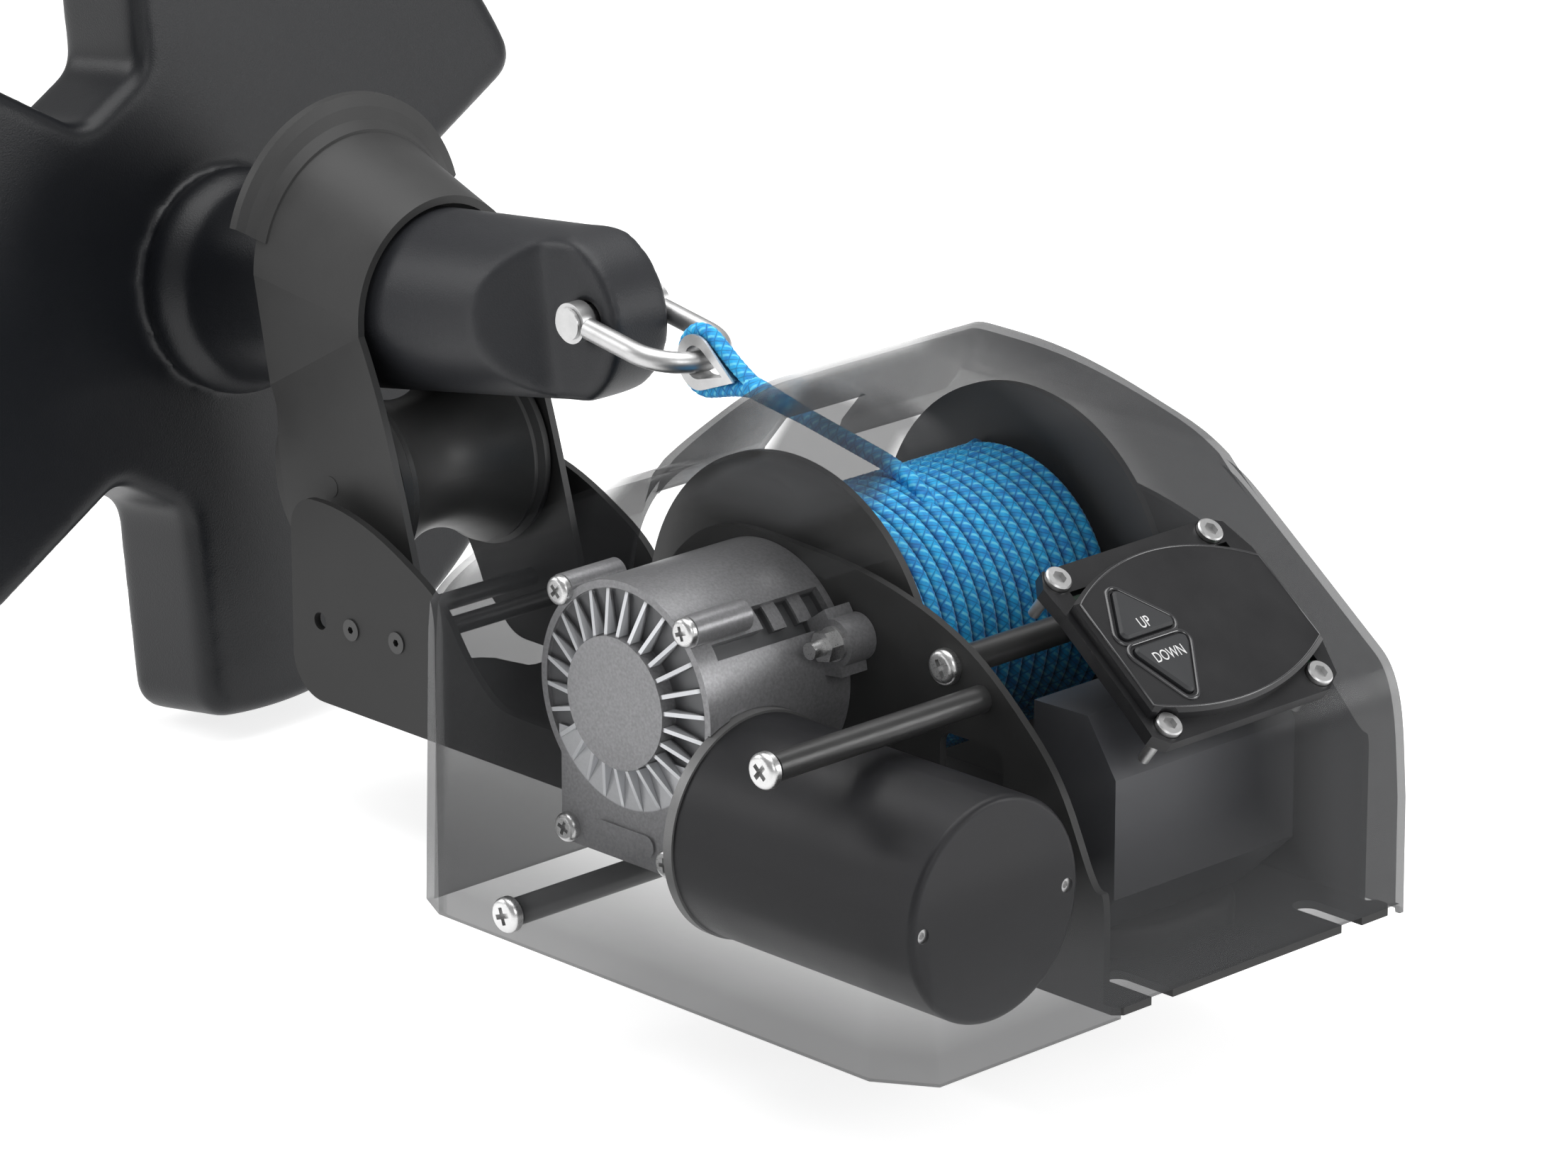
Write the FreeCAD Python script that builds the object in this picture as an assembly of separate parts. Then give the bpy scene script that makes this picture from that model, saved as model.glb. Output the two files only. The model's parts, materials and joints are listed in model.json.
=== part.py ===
"""Bow anchor windlass with its river anchor docked in the davit.

Frame: millimetres, origin at the centre of the deck bolt pattern on the underside of the base,
+X aft (operator's end), +Y away from the motor, +Z up.  Every function below makes one
sub-part and the table at the end writes each to parts/NODE.step.
"""
import FreeCAD
import Part
import math
import os
from FreeCAD import Vector as V

# ---------------------------------------------------------------- driving dimensions
SHEET = 3.0                      # chassis and davit sheet thickness
BASE_REAR = 110.8                # aft edge of the base floor
FLOOR_FRONT = -286.0             # front edge of the floor beside the cheeks
NOSE_HALF = 53.0                 # outer face of the nose cheeks
BODY_HALF = 69.8                 # outer face of the side plates round the drum
JOG_FRONT, JOG_REAR = -176.0, -156.0
PLATE_REAR = 104.0               # aft edge of the side plates
SLOT_Y, SLOT_WIDTH, SLOT_END = 48.0, 10.5, 90.0
FRONT_HOLE_X, DECK_HOLE_R = -100.0, 4.5

DRUM_X, DRUM_Z = -58.5, 87.0     # drum and gearbox axis, parallel to Y
FLANGE_R, FLANGE_T, FLANGE_OUT = 70.5, 3.0, 60.0
CORE_R, SHAFT_R = 20.0, 8.0
ROPE_D = 6.3
WINDING_R = 50.5

WORM_Z, WORM_Y = 48.5, -118.0    # worm and motor axis, parallel to X
WHEEL_R, WORM_R = 29.6, 8.0
GEAR_FRONT = -137.5              # front plane of the gearbox cover
GEAR_BACK = -BODY_HALF - 0.2
GEAR_R = 42.3
MOTOR_R, MOTOR_FRONT, MOTOR_REAR = 39.7, -13.5, 100.0

ROLLER_X, ROLLER_Z = -323.3, 80.5
LEG_OUT = 41.0                   # outer face of the davit legs
SHANK_TILT = 8.4                 # degrees, shank rises towards the drum
SHANK_X, SHANK_Z = -227.5, 160.7  # a point on the shank axis, where its round body ends
PIN_X, PIN_Z = -211.5, 164.2      # shackle pin, through the shank's flatted end
SHANK_R = 32.3

POD_X, POD_Y, POD_Z = 77.35, -2.0, 114.05
POD_COS, POD_SIN = 0.8, 0.6      # the control pod slopes down aft on a 3-4-5 triangle
POD_SCREW_S, POD_SCREW_Y = 32.5, 37.7

COVER_T = 2.0
COVER_NEAR, COVER_FAR = -170.0, 75.5

RUNNING = 0.05                   # radial clearance of a turning fit
GAP = 0.3                        # clearance between separate bodies


# ---------------------------------------------------------------- small helpers
def box(x0, x1, y0, y1, z0, z1):
    return Part.makeBox(x1 - x0, y1 - y0, z1 - z0, V(x0, y0, z0))


def cyl_x(y, z, r, x0, x1):
    return Part.makeCylinder(r, x1 - x0, V(x0, y, z), V(1, 0, 0))


def cyl_y(x, z, r, y0, y1):
    return Part.makeCylinder(r, y1 - y0, V(x, y0, z), V(0, 1, 0))


def cyl_z(x, y, r, z0, z1):
    return Part.makeCylinder(r, z1 - z0, V(x, y, z0), V(0, 0, 1))


def fuse(first, *others):
    return first.multiFuse(list(others)).removeSplitter()


def group(shapes):
    return Part.makeCompound(list(shapes))


def line(a, b):
    return Part.LineSegment(V(*a), V(*b)).toShape()


def curve(points, start=None, end=None):
    """A smooth curve through the points, with optional end tangents."""
    spline = Part.BSplineCurve()
    vectors = [V(*p) for p in points]
    if start and end:
        spline.interpolate(Points=vectors, InitialTangent=V(*start), FinalTangent=V(*end))
    else:
        spline.interpolate(Points=vectors)
    return spline.toShape()


def prism(edges, along):
    """Extrude a closed loop of edges along a vector."""
    face = Part.Face(Part.Wire(Part.__sortEdges__(edges)))
    return face.extrude(V(*along))


def polygon(points, along):
    return Part.Face(Part.makePolygon([V(*p) for p in points + points[:1]])).extrude(V(*along))


def fillet_y_edges(solid, radius, test):
    """Round the edges parallel to Y whose (x, z) passes the test."""
    chosen = []
    for edge in solid.Edges:
        a, b = edge.Vertexes[0].Point, edge.Vertexes[-1].Point
        if abs(a.x - b.x) < 1e-6 and abs(a.z - b.z) < 1e-6 and abs(a.y - b.y) > 1e-6 and test(a.x, a.z):
            chosen.append(edge)
    return solid.makeFillet(radius, chosen)


def moved_by(shape, placement):
    """A copy of the shape carried along by a placement."""
    moved = shape.copy()
    moved.Placement = placement.multiply(shape.Placement)
    return moved


def turned(profile, centre, axis):
    """Solid of revolution from (radius, station) pairs about an axis through centre."""
    points = [V(r, 0, s) for r, s in profile]
    face = Part.Face(Part.makePolygon(points + points[:1]))
    solid = face.revolve(V(0, 0, 0), V(0, 0, 1), 360)
    return moved_by(solid, FreeCAD.Placement(V(*centre), FreeCAD.Rotation(V(0, 0, 1), V(*axis))))


def placed(shape, at, axis, spin=0.0):
    """Move a shape modelled on +Z from the origin to a point and direction."""
    turn = FreeCAD.Rotation(V(0, 0, 1), V(*axis))
    roll = FreeCAD.Rotation(V(0, 0, 1), spin)
    return moved_by(shape, FreeCAD.Placement(V(*at), turn.multiply(roll)))


def pan_screw(head_r, head_h, shank_r, shank_l, spin=20.0):
    """Pan-head cross-recess screw; the head sits on z = 0 and the shank goes down."""
    head = Part.makeCylinder(head_r, head_h)
    head = head.makeFillet(head_h * 0.55, [e for e in head.Edges if e.BoundBox.ZMin > head_h * 0.9])
    shank = Part.makeCylinder(shank_r, shank_l, V(0, 0, -shank_l))
    arm, width = head_r * 0.5, head_r * 0.14
    slot = box(-arm, arm, -width, width, head_h * 0.45, head_h + 1)
    cross = slot.fuse(slot.rotated(V(0, 0, 0), V(0, 0, 1), 90))
    return head.fuse(shank).cut(cross.rotated(V(0, 0, 0), V(0, 0, 1), spin))


def hexagon(width, height, z0=0.0):
    r = width / math.sqrt(3)
    points = [(r * math.cos(math.radians(60 * k)), r * math.sin(math.radians(60 * k)), z0) for k in range(6)]
    return polygon(points, (0, 0, height))


def cap_screw(head_r, head_h, shank_r, shank_l):
    """Socket cap screw with a tapered seat under the head."""
    head = Part.makeCylinder(head_r, head_h)
    head = head.makeChamfer(0.5, [e for e in head.Edges if e.BoundBox.ZMin > head_h * 0.9])
    shank = Part.makeCylinder(shank_r, shank_l, V(0, 0, -shank_l))
    return head.fuse(shank).cut(hexagon(head_r * 0.95, head_h, head_h * 0.4))


# ---------------------------------------------------------------- chassis
def cheek_outline():
    """Side view of a nose cheek, from its floor line round the nose to the jog."""
    x0, z0, y = -332.7, 0.0, 0.0
    corner, crown = 17.0, 13.0
    tip = (-319.0, y, 79.0)
    return [
        line((JOG_FRONT, y, z0), (x0 + corner, y, z0)),
        Part.Arc(V(x0 + corner, y, z0), V(x0 + corner * 0.29, y, corner * 0.29), V(x0, y, corner)).toShape(),
        line((x0, y, corner), (x0, y, tip[2] - crown)),
        Part.Arc(V(x0, y, tip[2] - crown), V(x0 + 4.0, y, tip[2] - 3.7), V(*tip)).toShape(),
        curve([tip, (-291.0, y, 75.3), (-265.0, y, 64.3), (-246.7, y, 52.0), (-236.0, y, 37.6),
               (-222.0, y, 25.2), (-200.0, y, 21.2)], (1, 0, 0.05), (1, 0, 0)),
        line((-200.0, y, 21.2), (JOG_FRONT, y, 21.2)),
        line((JOG_FRONT, y, 21.2), (JOG_FRONT, y, z0)),
    ]


NEAR_TAIL = [(64.5, 93.8), (86.0, 68.0), (100.5, 42.0), (PLATE_REAR, 26.0)]
FAR_TAIL = [(66.0, 90.5), (86.8, 70.6), (94.9, 63.3), (97.5, 54.0)]


def body_outline(tail):
    """Side view of a plate beside the drum; tail is its aft edge, from the crest down."""
    y = 0.0
    rear = tail[-1][0]
    return [
        line((JOG_REAR, y, 0.0), (JOG_REAR, y, 21.2)),
        curve([(JOG_REAR, y, 21.2), (-132.0, y, 50.0), (-112.0, y, 104.0), (-84.0, y, 128.6),
               (-52.4, y, 131.2), (-17.6, y, 129.2), (15.0, y, 122.6), (42.8, y, 110.6)]
              + [(x, y, z) for x, z in tail], (1, 0, 0.35), (0, 0, -1)),
        line((rear, y, tail[-1][1]), (rear, y, 0.0)),
        line((rear, y, 0.0), (JOG_REAR, y, 0.0)),
    ]


def side_plate(sign):
    """One side plate: narrow nose cheek, jog, and wide drum plate."""
    cheek = prism(cheek_outline(), (0, SHEET, 0))
    cheek.translate(V(0, NOSE_HALF - SHEET, 0))
    tail = FAR_TAIL if sign > 0 else NEAR_TAIL
    body = prism(body_outline(tail), (0, SHEET, 0))
    body.translate(V(0, BODY_HALF - SHEET, 0))
    jog = polygon([(JOG_FRONT, NOSE_HALF - SHEET, 0), (JOG_FRONT, NOSE_HALF, 0),
                   (JOG_REAR, BODY_HALF, 0), (JOG_REAR, BODY_HALF - SHEET, 0)], (0, 0, 21.2))
    plate = fuse(cheek, jog, body)
    return plate if sign > 0 else plate.mirror(V(0, 0, 0), V(0, 1, 0))


def floor_plate():
    """Floor between the side plates, with its aft lip and open deck slots."""
    nose, body = NOSE_HALF - SHEET, BODY_HALF - SHEET
    points = []
    for sign in (-1, 1):
        side = [(-309.5, 13.0), (-306.0, 18.0), (-302.0, 21.4), (-297.0, 22.4), (FLOOR_FRONT - 1, 25.0),
                (FLOOR_FRONT, 28.0), (FLOOR_FRONT, nose), (JOG_FRONT, nose), (JOG_REAR, body),
                (PLATE_REAR - 3, body), (PLATE_REAR - 1, BODY_HALF), (BASE_REAR - 3, BODY_HALF),
                (BASE_REAR, BODY_HALF - 3)]
        side = [(x, sign * y, 0.0) for x, y in side]
        points = side if sign < 0 else points + side[::-1]
    floor = polygon(points, (0, 0, SHEET))
    half = SLOT_WIDTH / 2
    for y in (-SLOT_Y, SLOT_Y):
        slot = box(SLOT_END, BASE_REAR + 1, y - half, y + half, -1, SHEET + 1)
        floor = floor.cut(slot.fuse(cyl_z(SLOT_END, y, half, -1, SHEET + 1)))
        floor = floor.cut(cyl_z(FRONT_HOLE_X, y, DECK_HOLE_R, -1, SHEET + 1))
    return floor


NOSE_HOLES = ((-299.1, 32.7), (-273.5, 34.0))     # the two nose cross rods
SPARE_HOLE = (-316.9, 31.9)                       # second tilt position of the davit
STANDOFFS = ((-82.0, 11.1), (45.6, 97.2))         # cover standoffs on the motor side
UPPER_ROD = (29.5, 105.0)


def chassis():
    shell = fuse(side_plate(1), side_plate(-1), floor_plate())
    for x, z in NOSE_HOLES:
        shell = shell.cut(cyl_y(x, z, 2.5, -60, 60))
    shell = shell.cut(cyl_y(*SPARE_HOLE, 3.4, -60, 60))
    for x, z in STANDOFFS + (UPPER_ROD,):
        shell = shell.cut(cyl_y(x, z, 3.0, -80, 0 if (x, z) != UPPER_ROD else 80))
    shell = shell.cut(cyl_y(DRUM_X, DRUM_Z, 15.0, -80, 80))
    window = box(26, 56, -75, -60, 48, 81)
    window = fillet_y_edges(window, 5.0, lambda x, z: True)
    return shell.cut(window)


def nose_rods():
    return group(cyl_y(x, z, 3.5, -LEG_OUT + SHEET, LEG_OUT - SHEET).cut(cyl_y(x, z, 2.4, -50, 50))
                 for x, z in NOSE_HOLES)


def nose_spacers():
    """Bushes between each cheek and the davit leg, round the rod screws."""
    inner, outer = LEG_OUT, NOSE_HALF - SHEET
    return group(cyl_y(x, z, 5.5, *span).cut(cyl_y(x, z, 2.4, -60, 60))
                 for x, z in NOSE_HOLES for span in ((-outer, -inner), (inner, outer)))


def nose_screws():
    """Flush socket screws that clamp the cheeks, spacers and davit on the nose rods."""
    screws = []
    for x, z in NOSE_HOLES:
        for sign in (-1, 1):
            shank = cyl_y(x, z, 2.4, 25, NOSE_HALF - SHEET)
            head = cyl_y(x, z, 2.5, NOSE_HALF - SHEET, NOSE_HALF).fuse(cyl_y(x, z, 4.2, NOSE_HALF, NOSE_HALF + 0.6))
            socket = placed(hexagon(2.6, 3.0), (x, NOSE_HALF - 1.5, z), (0, 1, 0))
            screw = shank.fuse(head).cut(socket)
            screws.append(screw if sign > 0 else screw.mirror(V(0, 0, 0), V(0, 1, 0)))
    return group(screws)


# ---------------------------------------------------------------- davit and roller
def hood_wire(x, centre, radius, foot):
    """Closed upright section of the hood: an arch on two sides that stand on the flat legs."""
    def loop(r, half):
        left, right, top = V(x, -r, centre), V(x, r, centre), V(x, 0, centre + r)
        return left, right, top, V(x, -half, foot), V(x, half, foot)
    lo, ro, to, flo, fro = loop(radius, LEG_OUT)
    li, ri, ti, fli, fri = loop(radius - SHEET, LEG_OUT - SHEET)
    edges = [Part.LineSegment(flo, lo).toShape(), Part.Arc(lo, to, ro).toShape(),
             Part.LineSegment(ro, fro).toShape(), Part.LineSegment(fro, fri).toShape(),
             Part.LineSegment(fri, ri).toShape(), Part.Arc(ri, ti, li).toShape(),
             Part.LineSegment(li, fli).toShape(), Part.LineSegment(fli, flo).toShape()]
    return Part.Wire(edges)


def lip_wire(x, centre, radius, thick, sweep=74.0):
    """Closed section of the flared rim: an open ring over the top of the hood."""
    def on(r, degrees):
        a = math.radians(degrees)
        return V(x, r * math.sin(a), centre + r * math.cos(a))
    outer = [on(radius, a) for a in (-sweep, 0, sweep)]
    inner = [on(radius - thick, a) for a in (sweep, 0, -sweep)]
    return Part.Wire([Part.Arc(*outer).toShape(), Part.LineSegment(outer[2], inner[0]).toShape(),
                      Part.Arc(*inner).toShape(), Part.LineSegment(inner[2], outer[0]).toShape()])


HOOD_REAR, HOOD_FRONT = -306.0, -357.0            # the hood's two end sections along X
HOOD_REAR_FOOT, HOOD_FRONT_FOOT = 142.5, 113.0    # where the hood bends into the flat legs


def davit():
    """Sheet davit: two legs that grow into a hood round the shank, with a flared rim."""
    rear, front = HOOD_REAR, HOOD_FRONT
    hood = Part.makeLoft([hood_wire(rear, 147.5, 41.0, HOOD_REAR_FOOT),
                          hood_wire(front, 157.5, 48.0, HOOD_FRONT_FOOT)], True, True)
    lip = Part.makeLoft([lip_wire(front + 5.0, 157.0, 48.0, SHEET), lip_wire(front + 1.6, 158.0, 50.2, 4.2),
                         lip_wire(front - 0.2, 159.2, 53.6, 6.4), lip_wire(front - 1.4, 160.3, 57.2, 8.6),
                         lip_wire(front - 4.6, 160.3, 57.5, 7.0)], True, True)
    rear, front = V(rear, 0, HOOD_REAR_FOOT), V(front, 0, HOOD_FRONT_FOOT)
    leg_edges = [
        line(tuple(front), tuple(rear)),
        curve([tuple(rear), (-295.2, 0, 118.0), (-286.7, 0, 93.0), (-276.0, 0, 56.0),
               (-268.0, 0, 28.0)], None, None),
        Part.Arc(V(-268.0, 0, 28.0), V(-278.0, 0, 11.5), V(-296.0, 0, 8.0)).toShape(),
        Part.Arc(V(-296.0, 0, 8.0), V(-317.0, 0, 14.5), V(-327.0, 0, 24.0)).toShape(),
        curve([(-327.0, 0, 24.0), (-336.7, 0, 41.6), (-346.2, 0, 58.0), (-350.7, 0, 74.7), (-353.2, 0, 94.0),
               (-353.6, 0, 104.0), tuple(front)], None, None),
    ]
    leg = prism(leg_edges, (0, SHEET, 0))
    near = leg.translated(V(0, -LEG_OUT, 0))
    far = leg.translated(V(0, LEG_OUT - SHEET, 0))
    body = fuse(hood, lip, near, far)
    for x, z in NOSE_HOLES:
        body = body.cut(cyl_y(x, z, 2.6, -60, 60))
    return body.cut(cyl_y(ROLLER_X, ROLLER_Z, 4.0, -60, 60))


def roller_axle():
    """Riveted axle, flush with the outer faces of the davit legs."""
    return cyl_y(ROLLER_X, ROLLER_Z, 4.0, -LEG_OUT - 0.2, LEG_OUT + 0.2)


def roller_washers():
    inner = LEG_OUT - SHEET
    return group(cyl_y(ROLLER_X, ROLLER_Z, 9.0, *span).cut(cyl_y(ROLLER_X, ROLLER_Z, 4.0, -60, 60))
                 for span in ((-inner, -inner + 1.2), (inner - 1.2, inner)))


def roller_section(step):
    """Radius of the hourglass roller at distance step from its middle."""
    waist, shoulder, reach = 25.5, 36.5, 29.0
    return waist + (shoulder - waist) * min(1.0, (abs(step) / reach)) ** 2


def bow_roller():
    half, bore = LEG_OUT - SHEET - 1.2 - GAP, 4.0 + RUNNING
    rim = 38.2
    stations = [-29.0 + 2.9 * k for k in range(21)]
    points = [V(roller_section(s), s, 0) for s in stations]
    waist = Part.BSplineCurve()
    waist.interpolate(points)
    edges = [waist.toShape(), line((points[-1].x, 29.0, 0), (rim - 2, 31.0, 0)),
             line((rim - 2, 31.0, 0), (rim, 33.0, 0)), line((rim, 33.0, 0), (rim - 1, half, 0)),
             line((rim - 1, half, 0), (bore, half, 0)), line((bore, half, 0), (bore, -half, 0)),
             line((bore, -half, 0), (rim - 1, -half, 0)), line((rim - 1, -half, 0), (rim, -33.0, 0)),
             line((rim, -33.0, 0), (rim - 2, -31.0, 0)), line((rim - 2, -31.0, 0), (points[0].x, -29.0, 0))]
    face = Part.Face(Part.Wire(Part.__sortEdges__(edges)))
    solid = face.revolve(V(0, 0, 0), V(0, 1, 0), 360)
    solid.translate(V(ROLLER_X, 0, ROLLER_Z))
    return solid


# ---------------------------------------------------------------- drum line
def drum():
    """Spool: tubular core between two flat flanges."""
    spool = cyl_y(DRUM_X, DRUM_Z, CORE_R, -FLANGE_OUT, FLANGE_OUT)
    for y0 in (-FLANGE_OUT, FLANGE_OUT - FLANGE_T):
        spool = spool.fuse(cyl_y(DRUM_X, DRUM_Z, FLANGE_R, y0, y0 + FLANGE_T))
    return spool.cut(cyl_y(DRUM_X, DRUM_Z, SHAFT_R, -80, 80))


def drum_shaft():
    return cyl_y(DRUM_X, DRUM_Z, SHAFT_R, -128.0, BODY_HALF + 1.5)


def shaft_key():
    """Cross pin that locks the drum core on its shaft, and its two circlips."""
    clips = [cyl_y(DRUM_X, DRUM_Z, 10.5, *span).cut(cyl_y(DRUM_X, DRUM_Z, SHAFT_R, -90, 90))
             for span in ((-FLANGE_OUT - 1.3, -FLANGE_OUT), (FLANGE_OUT, FLANGE_OUT + 1.3))]
    return group(clips)


def flanged_bush(y_in, y_out, flange_in):
    """Plain bush in a side plate; its flange is on the drum side."""
    body = cyl_y(DRUM_X, DRUM_Z, 15.0, min(y_in, y_out), max(y_in, y_out))
    flange = cyl_y(DRUM_X, DRUM_Z, 19.0, min(y_in, flange_in), max(y_in, flange_in))
    return body.fuse(flange).cut(cyl_y(DRUM_X, DRUM_Z, SHAFT_R + RUNNING, -90, 90))


def near_bush():
    inner = -(BODY_HALF - SHEET)
    return flanged_bush(inner, -BODY_HALF, inner + 2.0)


def far_bush():
    inner = BODY_HALF - SHEET
    return flanged_bush(inner, BODY_HALF, inner - 2.0)


def rope_winding():
    """The wound rope as one closed ring between the flanges."""
    half = FLANGE_OUT - FLANGE_T - 0.2
    return cyl_y(DRUM_X, DRUM_Z, WINDING_R, -half, half).cut(cyl_y(DRUM_X, DRUM_Z, CORE_R, -80, 80))


# ---------------------------------------------------------------- gearbox
def around(radius, degrees):
    """(x, z) at a polar position round the drum axis; 0 degrees is aft."""
    a = math.radians(degrees)
    return DRUM_X + radius * math.cos(a), DRUM_Z + radius * math.sin(a)


FOOT = (-91.0, -29.0, 28.0, 62.0)                # x0, x1, z0, z1 of the worm housing
COVER_PLATE = 4.0                                 # thickness of the gearbox cover
CASE_R = 37.0                                     # wheel case behind the shroud
COVER_BOSSES = (around(45.0, 46.0), around(45.0, 134.0))
FOOT_SCREWS = ((-87.0, 33.5), (-36.0, 33.5))
LUG_ANGLES = (22.0, 200.0, 268.0)


def sector(r, y0, y1, a0, a1):
    """Pie slice round the drum axis between two angles."""
    (xa, za), (xb, zb), (xm, zm) = around(r, a0), around(r, a1), around(r, (a0 + a1) / 2)
    edges = [line((DRUM_X, y0, DRUM_Z), (xa, y0, za)),
             Part.Arc(V(xa, y0, za), V(xm, y0, zm), V(xb, y0, zb)).toShape(),
             line((xb, y0, zb), (DRUM_X, y0, DRUM_Z))]
    return prism(edges, (0, y1 - y0, 0))


def motor_relief():
    """Room that the gearbox leaves for the motor and its flange."""
    return cyl_x(WORM_Y, WORM_Z, MOTOR_R + 1.3, MOTOR_FRONT - 4.0, 10.0)


def gearbox_housing():
    """Cast housing: wheel case, worm case, bosses and three mounting lugs."""
    front = GEAR_FRONT + COVER_PLATE
    case = cyl_y(DRUM_X, DRUM_Z, CASE_R, front, GEAR_BACK)
    shroud = sector(GEAR_R, front + 3, GEAR_BACK, 38, 152)
    collar = cyl_y(DRUM_X, DRUM_Z, GEAR_R, front, front + 5)
    lower = sector(GEAR_R - 1.0, front + 3, GEAR_BACK, -70, 30)
    x0, x1, z0, z1 = FOOT
    worm_case = box(x0, x1, front, -97.0, z0, z1)
    parts = [shroud, collar, lower, worm_case, cyl_x(WORM_Y, WORM_Z, 15.4, x1 - 1, MOTOR_FRONT - 4.0)]
    for x, z in COVER_BOSSES:
        parts.append(cyl_y(x, z, 5.6, front, -112.0))
    for x, z in FOOT_SCREWS:
        parts.append(cyl_y(x, z, 5.0, front, -118.0))
    for angle in LUG_ANGLES:
        x, z = around(49.0, angle)
        web = sector(50.0, -82.0, GEAR_BACK, angle - 14, angle + 14)
        parts += [cyl_y(x, z, 8.5, -82.0, GEAR_BACK), web]
    slot = sector(GEAR_R + 5, -104.0, -73.0, 36, 50).cut(cyl_y(DRUM_X, DRUM_Z, CASE_R, -120, -60))
    ribs = [sector(GEAR_R - 2, y0, y0 + 6.0, 36, 50) for y0 in (-98.0, -86.0)]
    housing = fuse(fuse(case, *parts).cut(slot), *ribs).cut(motor_relief())
    housing = housing.cut(cyl_y(DRUM_X, DRUM_Z, 33.0, front - 1, -100.0))
    housing = housing.cut(cyl_y(DRUM_X, DRUM_Z, SHAFT_R + 1.0, -110, -60))
    housing = housing.cut(cyl_y(DRUM_X, DRUM_Z, 14.0, -100, -90))
    housing = housing.cut(cyl_x(WORM_Y, WORM_Z, 11.0, x0 + 4, 0))
    for x, z in COVER_BOSSES + FOOT_SCREWS:
        housing = housing.cut(cyl_y(x, z, 2.0, front - 1, front + 12))
    for angle in LUG_ANGLES:
        housing = housing.cut(cyl_y(*around(49.0, angle), 3.0, -90, -60))
    return housing


def cooling_fin(angle):
    """One tapering fin, high at the hub disc and running out at the rim."""
    thick, r0, r1, height = 1.5, 23.0, 39.5, 4.6
    points = [(r0, -thick / 2, 0), (r1, -thick / 2, 0), (r0, -thick / 2, height)]
    fin = polygon(points, (0, thick, 0))
    fin.rotate(V(0, 0, 0), V(0, 0, 1), angle)
    return placed(fin, (DRUM_X, GEAR_FRONT, DRUM_Z), (0, -1, 0))


def gearbox_cover():
    """Finned cover with a raised hub disc and a square foot over the worm."""
    back = GEAR_FRONT + COVER_PLATE
    plate = cyl_y(DRUM_X, DRUM_Z, GEAR_R, GEAR_FRONT, back)
    x0, x1, z0, z1 = FOOT
    foot = box(x0, x1, GEAR_FRONT, back, z0, z1 + 8)
    bosses = [cyl_y(x, z, 5.6, GEAR_FRONT, back) for x, z in COVER_BOSSES]
    disc = cyl_y(DRUM_X, DRUM_Z, 23.7, GEAR_FRONT - 5.0, GEAR_FRONT)
    pad = box(-73.0, -44.0, GEAR_FRONT - 0.8, GEAR_FRONT, 32.5, 40.5)
    pad = fillet_y_edges(pad, 3.9, lambda x, z: True)
    fins = [cooling_fin(360.0 / 26 * k + 5) for k in range(26)]
    cover = fuse(plate, foot, disc, pad, *bosses, *fins)
    recess = cyl_y(DRUM_X, DRUM_Z, 39.6, GEAR_FRONT - 0.01, GEAR_FRONT + 1.2)
    recess = recess.cut(cyl_y(DRUM_X, DRUM_Z, 23.6, -150, -130))
    for fin in fins:
        recess = recess.cut(fin.translated(V(0, 1.5, 0)).fuse(fin))
    recess = recess.cut(box(x0 - 1, x1 + 1, -150, -130, z0 - 1, z1 + 8))
    cover = cover.cut(recess).cut(motor_relief())
    for x, z in COVER_BOSSES + FOOT_SCREWS:
        cover = cover.cut(cyl_y(x, z, 2.2, -150, -120))
    return cover


def gearbox_cover_screws():
    screw = pan_screw(5.2, 3.4, 2.0, 14.0)
    return group(placed(screw, (x, GEAR_FRONT, z), (0, -1, 0), 25 * k)
                 for k, (x, z) in enumerate(COVER_BOSSES + FOOT_SCREWS))


def gearbox_studs():
    """Studs from the side plate through the lugs."""
    return group(cyl_y(*around(49.0, a), 3.0, -94.0, -BODY_HALF) for a in LUG_ANGLES)


def gearbox_nuts():
    nuts = []
    for angle in LUG_ANGLES:
        x, z = around(49.0, angle)
        washer = cyl_y(x, z, 6.2, -83.2, -82.0)
        nut = placed(hexagon(10.0, 5.0), (x, -83.2, z), (0, -1, 0), 12)
        nuts.append(washer.fuse(nut).cut(cyl_y(x, z, 3.0, -100, -70)))
    return group(nuts)


def worm_wheel():
    """Bronze wheel with thirty straight tooth gaps, on a hub keyed to the drum shaft."""
    wheel = cyl_y(DRUM_X, DRUM_Z, WHEEL_R, -125.0, -111.0)
    hub = cyl_y(DRUM_X, DRUM_Z, 13.0, -128.0, -108.0)
    gaps = []
    for k in range(30):
        angle = 12.0 * k
        gap = box(WHEEL_R - 3.2, WHEEL_R + 1, -0.9, 0.9, -20, 20)
        gap.rotate(V(0, 0, 0), V(0, 0, 1), angle)
        gaps.append(placed(gap, (DRUM_X, -118.0, DRUM_Z), (0, -1, 0)))
    wheel = wheel.fuse(hub).cut(cyl_y(DRUM_X, DRUM_Z, SHAFT_R, -140, -100))
    for y0 in (-126.0, -114.5):
        wheel = wheel.cut(cyl_y(DRUM_X, DRUM_Z, 23.5, y0, y0 + 4.5).cut(cyl_y(DRUM_X, DRUM_Z, 13.0, -140, -100)))
    return wheel.cut(group(gaps))


def gearbox_bearing():
    """Ball bearing of the output shaft, in the back of the housing."""
    ring = cyl_y(DRUM_X, DRUM_Z, 14.0, -100.0, -92.0)
    return ring.cut(cyl_y(DRUM_X, DRUM_Z, SHAFT_R + RUNNING, -110, -80))


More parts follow.
